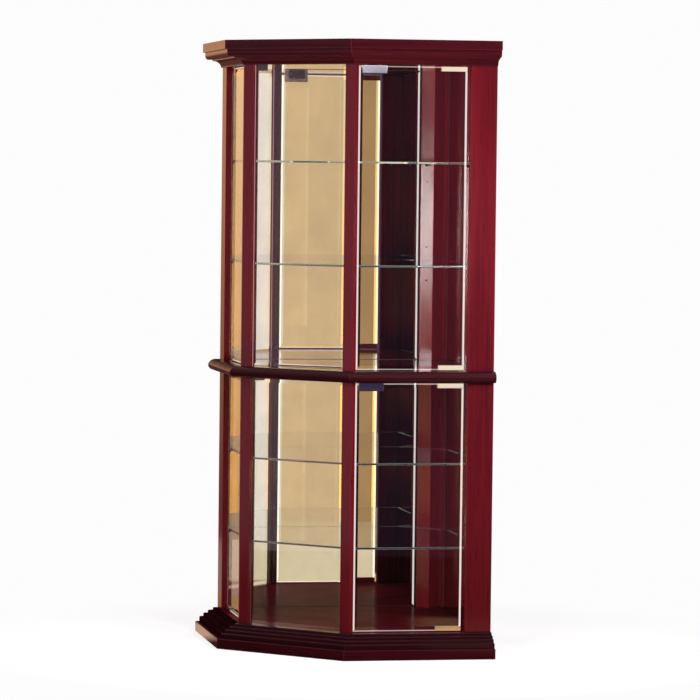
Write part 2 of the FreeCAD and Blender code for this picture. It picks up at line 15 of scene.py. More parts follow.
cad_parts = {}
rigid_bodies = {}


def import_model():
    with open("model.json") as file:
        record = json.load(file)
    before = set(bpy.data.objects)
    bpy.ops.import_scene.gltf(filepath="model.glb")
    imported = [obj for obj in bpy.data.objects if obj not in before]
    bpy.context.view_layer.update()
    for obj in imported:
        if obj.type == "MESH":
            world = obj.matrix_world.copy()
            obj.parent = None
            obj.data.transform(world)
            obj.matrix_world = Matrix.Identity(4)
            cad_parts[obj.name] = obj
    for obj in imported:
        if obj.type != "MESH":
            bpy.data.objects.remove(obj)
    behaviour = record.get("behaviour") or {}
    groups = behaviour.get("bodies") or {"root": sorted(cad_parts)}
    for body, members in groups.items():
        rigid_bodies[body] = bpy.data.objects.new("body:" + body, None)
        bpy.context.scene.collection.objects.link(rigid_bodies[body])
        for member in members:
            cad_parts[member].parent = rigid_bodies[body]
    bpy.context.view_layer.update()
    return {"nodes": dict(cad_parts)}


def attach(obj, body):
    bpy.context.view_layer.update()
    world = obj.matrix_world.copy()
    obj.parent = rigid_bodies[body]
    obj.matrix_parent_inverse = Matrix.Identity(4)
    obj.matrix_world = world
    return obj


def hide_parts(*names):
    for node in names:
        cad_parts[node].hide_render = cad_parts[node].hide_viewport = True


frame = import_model()
nodes = frame["nodes"]

# %% [markdown]
# ## The camera
#
# A long lens from eleven metres away keeps the uprights almost parallel. It stands about 34 degrees round to the
# right, at four fifths of the cabinet's height, and leans down slightly.

# %% Camera
LENS_AZIMUTH = math.radians(34.458)
LENS_PITCH = math.radians(-2.742)
LENS_ROLL = math.radians(0.645)

camera_data = bpy.data.cameras.new("camera")
camera_data.lens = 200.11
camera_data.sensor_width = 36.0
camera_data.clip_end = 200.0
camera = bpy.data.objects.new("camera", camera_data)
bpy.context.scene.collection.objects.link(camera)
camera.location = (6.398, -9.390, 1.400)
forward = Vector((
    -math.sin(LENS_AZIMUTH) * math.cos(LENS_PITCH),
    math.cos(LENS_AZIMUTH) * math.cos(LENS_PITCH),
    math.sin(LENS_PITCH),
))
camera.rotation_euler = (
    forward.to_track_quat("-Z", "Y").to_matrix().to_4x4() @ Matrix.Rotation(LENS_ROLL, 4, "Z")
).to_euler()
bpy.context.scene.camera = camera
print("the camera looks along", [round(value, 3) for value in forward])

# %% [markdown]
# ## Shader helpers
#
# Every shader below is built from a few small functions: one adds a node and fills its inputs, and the others are
# steps of arithmetic, mixes, and questions about the path of a ray.

# %% Shader helpers


def feed(tree, node, inputs):
    """Fills inputs by label or number: a socket is linked, a colour gets its fourth value, any other value is set."""
    for label, value in inputs.items():
        socket = node.inputs[label]
        if isinstance(value, bpy.types.NodeSocket):
            tree.links.new(value, socket)
        elif socket.type == "RGBA":
            socket.default_value = (*value, 1.0)
        else:
            socket.default_value = value
    return node


def add(tree, kind, inputs, **settings):
    """A new shader node with its settings and its inputs."""
    node = tree.nodes.new("ShaderNode" + kind)
    for label, value in settings.items():
        setattr(node, label, value)
    return feed(tree, node, inputs)


def maths(tree, operation, *values):
    """One step of arithmetic on sockets or numbers."""
    return add(tree, "Math", dict(enumerate(values)), operation=operation).outputs[0]


def vectors(tree, operation, *values):
    """One step of arithmetic on vectors. A product or a length comes out as a number."""
    node = add(tree, "VectorMath", dict(enumerate(values)), operation=operation)
    return node.outputs["Value" if operation in ("DOT_PRODUCT", "LENGTH") else "Vector"]


def part(tree, vector, axis):
    """The X, Y or Z of a vector."""
    return add(tree, "SeparateXYZ", {0: vector}).outputs[axis]


def share_between(tree, value, low, high):
    """A value spread so that low becomes 0 and high becomes 1."""
    return add(tree, "MapRange", {"Value": value, "From Min": low, "From Max": high}).outputs["Result"]


def spread(tree, mask, low, high):
    """A mask turned into a number between two values."""
    return add(tree, "MapRange", {"Value": mask, "To Min": low, "To Max": high}).outputs["Result"]


def blend_colours(tree, factor, first, second):
    """One colour where the factor is 0 and another where it is 1."""
    return add(tree, "Mix", {"Factor": factor, "A": first, "B": second}, data_type="RGBA").outputs["Result"]


def scaled(colour, amount):
    """A colour made darker or brighter."""
    return tuple(amount * value for value in colour)


def glow(tree, colour, strength=1.0):
    """A surface that shines with a colour."""
    return add(tree, "Emission", {"Color": colour, "Strength": strength}).outputs[0]


def mix_shaders(tree, factor, first, second):
    """One shader where the factor is 0 and another where it is 1."""
    return add(tree, "MixShader", {0: factor, 1: first, 2: second}).outputs[0]


def ray(tree, label):
    """A fact about the ray that meets the surface."""
    return add(tree, "LightPath", {}).outputs[label]


def unreflected(tree):
    """1 for what the lens sees directly or through glass, and 0 once a surface has thrown the ray back."""
    return share_between(tree, maths(tree, "ADD", ray(tree, "Glossy Depth"), ray(tree, "Diffuse Depth")), 0.6, 0.4)


def passed_glass(tree):
    """1 for a ray that has gone through the case, and 0 for one that a pane or the outside has mirrored.

    A ray that goes in and comes out again crosses four faces of glass, and one that the far face of a pane
    mirrors crosses two.
    """
    return maths(tree, "GREATER_THAN", ray(tree, "Transmission Depth"), 2.5)


print("the shader helpers are ready")

# %% [markdown]
# ## The room that reflections see
#
# Mirrors and lacquer show the room, so the room matters more than the lamps. The lens itself sees plain pale
# paper. What has passed a glass door shows a warm tan room with paler strips. The outside of the cabinet mirrors
# a dark studio with one bright tan wall at its left. Ramps lay both out by compass direction, from straight
# behind the cabinet, round its left side and its front, and back again. Higher up, the studio is dark as far as
# a soft light overhead, which draws a thin bright line along every eased arris. Low down, the wall at the left
# ends in shade, and what has passed the glass meets an orange glow on the near side of its stepped wall.

# %% Room
BACKDROP = (0.98, 0.98, 0.98)
ROOM_THROUGH_GLASS = [
    (-180.0, (0.62, 0.42, 0.20)),
    (-152.0, (0.62, 0.42, 0.20)),
    (-149.0, (1.00, 0.90, 0.76)),
    (-141.0, (1.00, 0.90, 0.76)),
    (-100.0, (0.66, 0.45, 0.22)),
    (-70.0, (0.30, 0.20, 0.12)),
    (-50.0, (0.06, 0.04, 0.04)),
    (15.0, (0.06, 0.03, 0.035)),
    (19.0, (0.80, 0.70, 0.70)),
    (28.0, (0.80, 0.70, 0.70)),
    (30.0, (0.16, 0.016, 0.020)),
    (38.0, (0.16, 0.016, 0.020)),
    (46.0, (0.30, 0.16, 0.10)),
    (49.5, (0.88, 0.72, 0.29)),
    (64.0, (1.00, 0.90, 0.78)),
    (80.0, (0.62, 0.46, 0.28)),
    (180.0, (0.62, 0.42, 0.20)),
]
ROOM_OUTSIDE = [
    (-180.0, (0.020, 0.014, 0.014)),
    (-142.0, (0.020, 0.012, 0.010)),
    (-133.0, (0.95, 0.48, 0.24)),
    (-112.0, (0.95, 0.48, 0.24)),
    (-95.0, (0.20, 0.12, 0.08)),
    (-60.0, (0.04, 0.03, 0.035)),
    (-50.0, (0.52, 0.40, 0.52)),
    (-20.0, (0.52, 0.40, 0.52)),
    (0.0, (0.04, 0.03, 0.04)),
    (50.0, (0.07, 0.05, 0.09)),
    (62.0, (0.10, 0.07, 0.13)),
    (85.0, (0.40, 0.28, 0.30)),
    (115.0, (1.80, 1.40, 1.45)),
    (152.0, (2.60, 2.10, 2.15)),
    (165.0, (0.05, 0.04, 0.04)),
    (180.0, (0.020, 0.014, 0.014)),
]
# Steps of colour on the wall that the back mirrors show: where each starts and ends, and what it turns into.
TAN_WALL = [
    (53.95, 54.10, (1.12, 1.00, 0.86)),
    (54.30, 54.50, (0.80, 0.55, 0.27)),
    (55.42, 55.56, (0.52, 0.31, 0.13)),
    (55.92, 55.94, (1.00, 0.88, 0.66)),
]
BEFORE_WALL = (53.95, 53.88)
PAST_WALL = (57.0, 57.5)
# What matt surfaces gather from the room, and how much of it.
SOFT_LIGHT = (0.80, 0.76, 0.84)
SOFT_STRENGTH = 0.16
OVERHEAD = (0.75, 0.55, 0.58)
SHADE_ABOVE = (0.030, 0.022, 0.028)
LEFT_LOW = (0.16, 0.06, 0.05)
LOW_GLOW = (2.2, 1.1, 0.25)
# Heights are the Z of a direction of length 1.
LOW_BAND = (-0.085, 0.020)
SHADE_BAND = (0.09, 0.20)
OVERHEAD_BAND = (0.50, 0.72)


def compass(tree, vector):
    """The compass direction of a vector in degrees: 0 is the front, -90 the left and 90 the right."""
    ahead = maths(tree, "MULTIPLY", part(tree, vector, "Y"), -1.0)
    return maths(tree, "DEGREES", maths(tree, "ARCTAN2", part(tree, vector, "X"), ahead))


def bearing_ramp(tree, vector, bands):
    """Colours laid out by compass direction, from -180 degrees behind the cabinet round its left side."""
    ramp = add(tree, "ValToRGB", {"Fac": share_between(tree, compass(tree, vector), -180.0, 180.0)})
    stops = ramp.color_ramp.elements
    while len(stops) < len(bands):
        stops.new(1.0)
    for stop, (bearing, colour) in zip(stops, bands):
        stop.position = (bearing + 180.0) / 360.0
        stop.color = (*colour, 1.0)
    return ramp.outputs["Color"]


world = bpy.data.worlds.new("studio")
bpy.context.scene.world = world
world.use_nodes = True
tree = world.node_tree
tree.nodes.clear()
direction = add(tree, "TexCoord", {}).outputs["Generated"]
bearing = compass(tree, direction)
height = part(tree, direction, "Z")
inside = bearing_ramp(tree, direction, ROOM_THROUGH_GLASS)
for starts, ends, colour in TAN_WALL + [(*PAST_WALL, inside)]:
    inside = blend_colours(tree, share_between(tree, bearing, starts, ends), inside, colour)
before_wall = share_between(tree, bearing, *BEFORE_WALL)
low_down = share_between(tree, height, *LOW_BAND[::-1])
inside = blend_colours(tree, maths(tree, "MULTIPLY", before_wall, low_down), inside, LOW_GLOW)
low_studio = bearing_ramp(tree, direction, [
    (band, LEFT_LOW if -140.0 < band < -100.0 else colour) for band, colour in ROOM_OUTSIDE])
outside = blend_colours(tree, share_between(tree, height, *LOW_BAND), low_studio,
                        bearing_ramp(tree, direction, ROOM_OUTSIDE))
above = blend_colours(tree, share_between(tree, height, *OVERHEAD_BAND), SHADE_ABOVE, OVERHEAD)
outside = blend_colours(tree, share_between(tree, height, *SHADE_BAND), outside, above)
room = add(tree, "Background", {"Color": blend_colours(tree, passed_glass(tree), outside, inside)})
soft = add(tree, "Background", {"Color": SOFT_LIGHT, "Strength": SOFT_STRENGTH})
paper = add(tree, "Background", {"Color": BACKDROP})
seen_by_surfaces = mix_shaders(tree, ray(tree, "Is Diffuse Ray"), room.outputs[0], soft.outputs[0])
add(tree, "OutputWorld", {"Surface": mix_shaders(tree, unreflected(tree), seen_by_surfaces, paper.outputs[0])})
bpy.context.scene.view_settings.view_transform = "Standard"
print("the room has", len(ROOM_THROUGH_GLASS), "bands through glass and", len(ROOM_OUTSIDE), "outside")

# %% [markdown]
# ## Lamps
#
# A broad soft lamp at the left and one on the right and in front model the cabinet. They are hidden from
# reflections, so that the mirrors and the lacquer don't show them.

# %% Lamps


def softbox(name, place, target, width, height, power, colour, seen=False):
    """A rectangular lamp that faces a point. Reflections show it only if it is seen."""
    data = bpy.data.lights.new(name, "AREA")
    data.shape = "RECTANGLE"
    data.size = width
    data.size_y = height
    data.energy = power
    data.color = colour
    lamp = bpy.data.objects.new(name, data)
    bpy.context.scene.collection.objects.link(lamp)
    lamp.location = place
    lamp.rotation_euler = (Vector(target) - Vector(place)).to_track_quat("-Z", "Y").to_euler()
    lamp.visible_camera = False
    lamp.visible_glossy = seen
    lamp.visible_transmission = seen
    return lamp


softbox("lamp_left", (-4.2, 0.4, 1.6), (-0.3, 0.0, 0.9), 2.4, 2.4, 40.0, (1.0, 0.90, 0.78))
softbox("lamp_right", (1.25, -0.85, 1.20), (0.44, -0.06, 1.20), 0.4, 0.4, 16.5, (1.0, 0.95, 0.96))
softbox("lamp_front", (0.9, -2.6, 1.25), (0.1, -0.2, 1.15), 0.9, 0.9, 24.0, (1.0, 0.97, 0.99))
print("three lamps are lit")

# %% [markdown]
# ## The floor
#
# A pale round sheet, which the lens sees as paper that fades into the backdrop with a faint shadow round the plinth.
# What a mirror shows through the glass is a brown floor near the cabinet and lighter paper beyond it. The outside
# mirrors three rings of floor whose glow is painted light: lit at the left and dark elsewhere as painted shade, and
# the middle one has a lit patch at the right too.

# %% Floor
PAPER_FADES = (0.75, 1.25)
RUG_ENDS = (1.05, 1.15)
RUG = (0.30, 0.15, 0.08)
PAST_RUG = (0.95, 0.78, 0.52)
BOUNCED_LIGHT = (0.30, 0.26, 0.26)
# Painted shade: the glow of floor that no light reaches.
UNLIT_FLOOR_GLOW = (0.030, 0.020, 0.022)
# The colours at the left and right of each ring, from the inside out, and where one ring turns into the next.
FLOOR_RINGS = (
    ((1.10, 0.72, 0.50), UNLIT_FLOOR_GLOW),
    ((0.52, 0.26, 0.12), (0.75, 0.46, 0.24)),
    ((0.48, 0.29, 0.23), UNLIT_FLOOR_GLOW),
)
RING_EDGES = ((0.66, 0.74), (1.30, 1.40))

bpy.ops.object.select_all(action="DESELECT")
bpy.ops.mesh.primitive_circle_add(vertices=96, radius=3.2, fill_type="NGON", location=(0.0, 0.0, -0.0015))
floor = bpy.context.object
floor.name = "floor"
paper_floor = bpy.data.materials.new("paper_floor")
paper_floor.use_nodes = True
tree = paper_floor.node_tree
tree.nodes.clear()
spot = add(tree, "TexCoord", {}).outputs["Object"]
reach = vectors(tree, "LENGTH", spot)


def floor_ring(left, right):
    """Painted glow for floor that is lit at the left of the cabinet and in shade in front of it, with a lit patch of
    another colour at the right.
    """
    return bearing_ramp(tree, spot, [
        (-180.0, UNLIT_FLOOR_GLOW), (-150.0, UNLIT_FLOOR_GLOW), (-138.0, left), (-70.0, left), (-50.0, UNLIT_FLOOR_GLOW),
        (56.0, UNLIT_FLOOR_GLOW), (60.0, right), (72.0, right), (76.0, UNLIT_FLOOR_GLOW), (180.0, UNLIT_FLOOR_GLOW)])


pale = add(tree, "BsdfDiffuse", {"Color": (0.80, 0.80, 0.80)}).outputs[0]
lit = add(tree, "AddShader", {0: pale, 1: glow(tree, BACKDROP, 0.70)}).outputs[0]
faded = mix_shaders(tree, share_between(tree, reach, *PAPER_FADES), lit, glow(tree, BACKDROP))
rug = blend_colours(tree, share_between(tree, reach, *RUG_ENDS), RUG, PAST_RUG)
near_floor = floor_ring(*FLOOR_RINGS[0])
for edge, colours in zip(RING_EDGES, FLOOR_RINGS[1:]):
    near_floor = blend_colours(tree, share_between(tree, reach, *edge), near_floor, floor_ring(*colours))
mirrored_floor = glow(tree, blend_colours(tree, passed_glass(tree), near_floor, rug))
bounced = mix_shaders(tree, ray(tree, "Is Diffuse Ray"), mirrored_floor, glow(tree, BOUNCED_LIGHT))
add(tree, "OutputMaterial", {"Surface": mix_shaders(tree, unreflected(tree), bounced, faded)})
floor.data.materials.append(paper_floor)
print("the floor is", floor.name)

# %% [markdown]
# ## Grain
#
# Cherry has fine straight grain: long pale and dark streaks, and short dark pores. A noise pattern that is
# squeezed along the run of the wood gives both. The run is an input, so one group serves uprights and mouldings.

# %% Grain group
ORIGIN = (0.0, 0.0, 0.0)
UPRIGHT = (0.0, 0.0, 1.0)


def new_group(name, inputs, masks):
    """An empty shader group that puts out masks: the group, the sockets of its input node, and its output node."""
    group = bpy.data.node_groups.new(name, "ShaderNodeTree")
    for label, value in inputs.items():
        kind = "NodeSocketVector" if isinstance(value, tuple) else "NodeSocketFloat"
        group.interface.new_socket(label, in_out="INPUT", socket_type=kind).default_value = value
    for label in masks:
        group.interface.new_socket(label, in_out="OUTPUT", socket_type="NodeSocketFloat")
    return group, group.nodes.new("NodeGroupInput").outputs, group.nodes.new("NodeGroupOutput")


def noise(tree, vector, scale, detail, **more):
    """A noise pattern. More inputs may follow."""
    return add(tree, "TexNoise", {"Vector": vector, "Scale": scale, "Detail": detail}, **more)


def squeezed(group, position, run, amount):
    """Coordinates that are squeezed along the run, so that a pattern on them is drawn out along it."""
    less = maths(group, "MULTIPLY", vectors(group, "DOT_PRODUCT", position, run), amount - 1.0)
    back = add(group, "VectorMath", {0: run, "Scale": less}, operation="SCALE").outputs[0]
    return vectors(group, "ADD", position, back)


grain, grain_in, grain_out = new_group(
    "wood_grain", {"Position": ORIGIN, "Run": UPRIGHT, "Seed": 0.0}, ("Figure", "Streak", "Pore"))
long_position = squeezed(grain, grain_in["Position"], grain_in["Run"], 0.06)
fine_position = squeezed(grain, grain_in["Position"], grain_in["Run"], 0.03)
for label, position, scale, detail, roughness, low, high in (
        ("Figure", long_position, 14.0, 3.0, 0.6, 0.36, 0.64),
        ("Streak", fine_position, 90.0, 5.0, 0.7, 0.38, 0.62),
        ("Pore", fine_position, 420.0, 2.0, 0.6, 0.60, 0.74)):
    pattern = noise(grain, position, scale, detail, noise_dimensions="4D")
    feed(grain, pattern, {"W": grain_in["Seed"], "Roughness": roughness})
    feed(grain, grain_out, {label: share_between(grain, pattern.outputs["Fac"], low, high)})
print("the grain group has", len(grain.nodes), "nodes")

# %% [markdown]
# ## Painted edge highlights and quirk shade
#
# The arrises get a painted highlight, a lighter and warmer colour or a glow that stands in for the light they catch.
# Comparing the true normal with a rounded one finds those edges anywhere. An occlusion test finds the quirks, which
# get painted shade, so those are darker.

# %% Edge group
painted_edge_group, painted_edge_in, painted_edge_out = new_group("thin_edges", {"Width": 0.0015}, ("Mask", "Corner"))
# The first mask places a painted highlight along the arrises.
rounded = add(painted_edge_group, "Bevel", {"Radius": painted_edge_in["Width"]}, samples=4).outputs[0]
agree = vectors(painted_edge_group, "DOT_PRODUCT", rounded, add(painted_edge_group, "NewGeometry", {}).outputs["Normal"])
# Ambient occlusion gives the painted shade in the quirks.
painted_nook_shade = add(painted_edge_group, "AmbientOcclusion", {"Distance": 0.007}, samples=6).outputs["AO"]
feed(painted_edge_group, painted_edge_out, {"Mask": share_between(painted_edge_group, agree, 0.995, 0.80),
                        "Corner": share_between(painted_edge_group, painted_nook_shade, 0.80, 0.35)})
print("the edge group has", len(painted_edge_group.nodes), "nodes")

# %% [markdown]
# ## Ground bevels
#
# The edges of the mirrors, doors and panes are ground to a shallow bevel, and this mask places a painted glow that
# stands in for the pale line of light it catches. The flats all face one of four compass directions, so a face that
# faces none of them exactly is a bevel or an edge.
# The test is made in the piece's own directions, so that it stays true when a door swings. The outer half of the
# upright bevels counts in full. Those across the top and the bottom look into the dark, so only a narrow strip at
# their edge counts, and only in part. A second mask tells which bevels turn towards the back corner.

# %% Bevel group
DIAGONAL = 0.70711
ground, ground_in, ground_out = new_group(
    "ground_bevel", {"Position": ORIGIN, "Way": (0.0, 1.0, 0.0), "Level": 0.0}, ("Mask", "Inner"))
own_normal = add(ground, "VectorTransform", {0: add(ground, "NewGeometry", {}).outputs["True Normal"]},
                 vector_type="NORMAL", convert_from="WORLD", convert_to="OBJECT").outputs[0]
closest = 0.0
for flat in ((DIAGONAL, DIAGONAL, 0.0), (DIAGONAL, -DIAGONAL, 0.0), (0.0, 1.0, 0.0)):
    along = maths(ground, "ABSOLUTE", vectors(ground, "DOT_PRODUCT", own_normal, flat))
    closest = maths(ground, "MAXIMUM", closest, along)
bevelled = share_between(ground, closest, 0.9990, 0.9975)
plumb = share_between(ground, maths(ground, "ABSOLUTE", part(ground, own_normal, "Z")), 0.05, 0.02)
# How far a place is past the level, with the right side folded over on the left.
folded = add(ground, "CombineXYZ", {
    "X": maths(ground, "ABSOLUTE", part(ground, ground_in["Position"], "X")),
    "Y": part(ground, ground_in["Position"], "Y")}).outputs[0]
past = maths(ground, "SUBTRACT", vectors(ground, "DOT_PRODUCT", folded, ground_in["Way"]), ground_in["Level"])
upright_line = maths(ground, "MULTIPLY", maths(ground, "MULTIPLY", plumb, bevelled),
                     share_between(ground, past, 0.0, 0.0001))
level_line = maths(ground, "MULTIPLY", maths(ground, "MULTIPLY", bevelled, 0.55),
                   share_between(ground, past, 0.00040, 0.00046))
# The first mask places a painted highlight glow on the bevels.
feed(ground, ground_out, {"Mask": maths(ground, "MAXIMUM", upright_line, level_line),
                          "Inner": share_between(ground, part(ground, own_normal, "Y"), -0.70, -0.66)})
print("the bevel group has", len(ground.nodes), "nodes")

# %% [markdown]
# ## Dust and polish marks
#
# A cabinet that has been polished for years is never quite even: the gloss drifts in soft clouds, and a little
# dust stays on faces that look up. The group gives both as masks, and each material takes as much as it needs.

# %% Wear group
wear, wear_in, wear_out = new_group("polish_and_dust", {"Position": ORIGIN}, ("Cloud", "Dust"))
cloud = noise(wear, wear_in["Position"], 9.0, 5.0).outputs["Fac"]
speck = noise(wear, wear_in["Position"], 260.0, 3.0).outputs["Fac"]
facing_up = share_between(wear, part(wear, add(wear, "NewGeometry", {}).outputs["Normal"], "Z"), 0.6, 1.0)
feed(wear, wear_out, {"Cloud": share_between(wear, cloud, 0.3, 0.7),
                      "Dust": maths(wear, "MULTIPLY", facing_up, share_between(wear, speck, 0.45, 0.75))})
print("the wear group has", len(wear.nodes), "nodes")

# %% [markdown]
# ## Wood
#
# The cabinet is stained a deep cherry red and finished with clear gloss lacquer. The stain sits darker on the
# mouldings than on the broad flats. Each run direction gets its own material, because grain follows the board.

# %% Wood materials
# Painted shade for the quirks of the mouldings.
PAINTED_QUIRK_SHADE = (0.012, 0.003, 0.004)
DUST_ON_WOOD = (0.30, 0.27, 0.25)


def new_material(name):
    """A new material with its tree, its shader and the place on the piece."""
    material = bpy.data.materials.new(name)
    material.use_nodes = True
    tree = material.node_tree
    return material, tree, tree.nodes["Principled BSDF"], add(tree, "TexCoord", {}).outputs["Object"]


def masks_of(tree, group, **inputs):
    """Puts a group into a material with its own inputs."""
    return add(tree, "Group", inputs, node_tree=group).outputs


def wood(name, run, seed, stain, gloss=0.10, shine=0.5, sheen=(1.0, 1.0, 1.0), drift=0.07, ior=1.40):
    """Stained and lacquered wood whose grain follows a run, with a painted highlight on its arrises and painted shade
    in its quirks.
    """
    material, tree, shader, place = new_material(name)
    dark, light, warm = stain
    pattern = masks_of(tree, grain, Position=place, Run=run, Seed=seed)
    used = masks_of(tree, wear, Position=place)
    edge = masks_of(tree, painted_edge_group, Width=0.0022)
    colour = dark
    # Grain, a painted highlight on the arrises, painted shade in the quirks and a little dust are mixed into the
    # stain.
    for mask, over in (
            (pattern["Figure"], light), (pattern["Streak"], warm), (pattern["Pore"], scaled(dark, 0.35)),
            (edge["Mask"], scaled(warm, 3.2)), (edge["Corner"], PAINTED_QUIRK_SHADE),
            (spread(tree, used["Dust"], 0.0, 0.02), DUST_ON_WOOD)):
        colour = blend_colours(tree, mask, colour, over)
    bump = add(tree, "Bump", {"Height": pattern["Streak"], "Strength": 0.06, "Distance": 0.0004})
    feed(tree, shader, {
        "Base Color": colour, "Roughness": spread(tree, used["Cloud"], gloss, gloss + drift),
        "Specular IOR Level": shine, "Specular Tint": sheen, "IOR": ior, "Normal": bump.outputs["Normal"]})
    return material


def facet_woods(name, stain, **left_look):
    """One wood for each front facet, with its grain along the facet. The left one may look different."""
    return {
        "left": wood(name + "_left", ACROSS_LEFT, 3.0, stain, **left_look),
        "centre": wood(name + "_centre", ACROSS_FRONT, 5.0, stain, shine=0.2),
        "right": wood(name + "_right", ACROSS_RIGHT, 6.0, stain, shine=0.3),
    }


ACROSS_LEFT = (DIAGONAL, -DIAGONAL, 0.0)
ACROSS_RIGHT = (DIAGONAL, DIAGONAL, 0.0)
ACROSS_FRONT = (1.0, 0.0, 0.0)
# A stain is its dark figure, its light figure and its warm streaks.
FRAME_STAIN = ((0.060, 0.0048, 0.0085), (0.180, 0.0085, 0.0125), (0.125, 0.0070, 0.0110))
MOULDING_STAIN = ((0.015, 0.0030, 0.0050), (0.068, 0.0048, 0.0080), (0.048, 0.0042, 0.0070))
DARK_STAIN = ((0.009, 0.0030, 0.0050), (0.042, 0.0042, 0.0070), (0.028, 0.0038, 0.0062))

stile_wood = wood("stile_wood", UPRIGHT, 1.0, FRAME_STAIN, sheen=(0.95, 0.62, 0.74))
post_wood = wood("post_wood", UPRIGHT, 4.0, FRAME_STAIN)
corner_wood = wood("corner_wood", UPRIGHT, 7.0, FRAME_STAIN, gloss=0.11)
board_wood = wood("board_wood", ACROSS_FRONT, 2.0, FRAME_STAIN, gloss=0.03)
moulding_wood = facet_woods("moulding_wood", MOULDING_STAIN)
foot_wood = facet_woods("foot_wood", DARK_STAIN, gloss=0.16, shine=0.10)
tread_wood = wood("tread_wood", ACROSS_LEFT, 3.0, DARK_STAIN, gloss=0.20, shine=0.0)
top_wood = wood("top_wood", ACROSS_FRONT, 2.0, FRAME_STAIN, gloss=0.38, shine=0.05)
floor_wood = wood("floor_wood", ACROSS_FRONT, 8.0, FRAME_STAIN, gloss=0.20, shine=0.01, ior=1.13)
ceiling_wood = wood("ceiling_wood", ACROSS_FRONT, 9.0, FRAME_STAIN, gloss=0.0, drift=0.01)
print("woods:", [m.name for m in bpy.data.materials if "wood" in m.name])

# %% [markdown]
# ## Glass, mirror and metal
#
# Door glass and shelves are solid glass that bends what is behind it. Their polished edges and bevels catch light,
# which a faint pale painted glow on the masks stands for. Mirrors are bright silver with a painted glow on the
# upright bevel beside the corner, and their upper and lower bevels shade as if they were flat. The fittings are
# plated brass and chrome, whose gloss drifts a little.

# %% Glass and metal materials
DOOR_WAY = (-DIAGONAL, DIAGONAL, 0.0)
PANE_WAY = (0.0, 1.0, 0.0)
MIRROR_WAY = (DIAGONAL, DIAGONAL, 0.0)
GLASS_BEVEL = 0.0016
MIRROR_BEVEL = 0.0012
NO_GLOW = (0.0, 0.0, 0.0)
CLEAR = (0.985, 0.992, 0.985)
DUST_FILM = (0.34, 0.32, 0.30)


def plain(name, colour, roughness, metallic=0.0, dust=0.0):
    """A smooth material whose colour and gloss drift a little over the surface."""
    material, tree, shader, place = new_material(name)
    used = masks_of(tree, wear, Position=place)
    tint = blend_colours(tree, used["Cloud"], scaled(colour, 0.93), colour)
    film = blend_colours(tree, spread(tree, used["Dust"], 0.0, dust), tint, DUST_FILM)
    gloss = spread(tree, used["Cloud"], roughness * 0.8, roughness * 1.25) if roughness else 0.0
    feed(tree, shader, {"Base Color": film, "Roughness": gloss, "Metallic": metallic})
    return material


def reopened(material, way, level):
    """The tree and the shader of a plain material, and the masks of its bevels."""
    tree = material.node_tree
    place = add(tree, "TexCoord", {}).outputs["Object"]
    return tree, tree.nodes["Principled BSDF"], masks_of(tree, ground, Position=place, Way=way, Level=level)


def half_way(label, way, bevel_depth):
    """The level, along a way into a piece, that its bevels reach half way out to the edge."""
    corners = [vertex.co for vertex in nodes[label].data.vertices]
    return min(Vector((abs(point.x), point.y, point.z)).dot(Vector(way)) for point in corners) + bevel_depth / 2


def clear_glass(name, tint, edge_colour, edge_glow, bevel_glow, way=PANE_WAY, level=0.0):
    """Glass that bends what is behind it, lets the lamps through and has a painted glow on its edges and bevels for
    their highlights.
    """
    material = plain(name, tint, 0.0)
    tree, shader, bevel = reopened(material, way, level)
    edge = masks_of(tree, painted_edge_group, Width=0.0016)
    # The emission is a painted highlight on the edges and bevels.
    painted_glint_colour = blend_colours(tree, edge["Mask"], NO_GLOW, scaled(edge_colour, edge_glow))
    shine = blend_colours(tree, bevel["Mask"], painted_glint_colour, scaled(edge_colour, bevel_glow))
    feed(tree, shader, {
        "Transmission Weight": 1.0, "IOR": 1.50, "Emission Color": shine, "Emission Strength": 1.0})
    through = add(tree, "BsdfTransparent", {"Color": (0.93, 0.95, 0.94)}).outputs[0]
    surface = mix_shaders(tree, ray(tree, "Is Shadow Ray"), shader.outputs[0], through)
    feed(tree, tree.nodes["Material Output"], {"Surface": surface})
    return material


def silver(name, bevel_glow):
    """Mirror whose upright bevel beside the corner has a painted highlight, a pale glow along it."""
    material = plain(name, (0.92, 0.92, 0.90), 0.0, metallic=1.0)
    tree, shader, bevel = reopened(material, MIRROR_WAY, mirror_level)
    inner = maths(tree, "MULTIPLY", bevel["Mask"], bevel["Inner"])
    # The glow is a painted highlight on the inner bevel.
    painted_glint_colour = blend_colours(tree, inner, NO_GLOW, scaled((1.0, 0.95, 0.93), bevel_glow))
    level_only = vectors(tree, "MULTIPLY", add(tree, "NewGeometry", {}).outputs["Normal"], (1.0, 1.0, 0.0))
    feed(tree, shader, {
        "Emission Color": painted_glint_colour, "Emission Strength": 1.0, "Normal": vectors(tree, "NORMALIZE", level_only)})
    return material


door_level = half_way("upper_door_glass_left", DOOR_WAY, GLASS_BEVEL)
pane_level = half_way("centre_pane_upper", PANE_WAY, GLASS_BEVEL)
mirror_level = half_way("upper_mirror_left", MIRROR_WAY, MIRROR_BEVEL)
door_glass = clear_glass("door_glass", CLEAR, (1.00, 0.90, 0.84), 0.0, 0.78, DOOR_WAY, door_level)
# The upper panes get a brighter, pinker painted highlight on their bevels than the lower ones.
pane_upper = clear_glass("pane_glass_upper", CLEAR, (0.90, 0.48, 0.52), 0.0, 0.55, PANE_WAY, pane_level)
pane_lower = clear_glass("pane_glass_lower", CLEAR, (0.90, 0.60, 0.52), 0.0, 0.08, PANE_WAY, pane_level)
shelf_glass = clear_glass("shelf_glass", (0.95, 0.985, 0.965), (0.80, 0.95, 0.86), 0.70, 0.0)
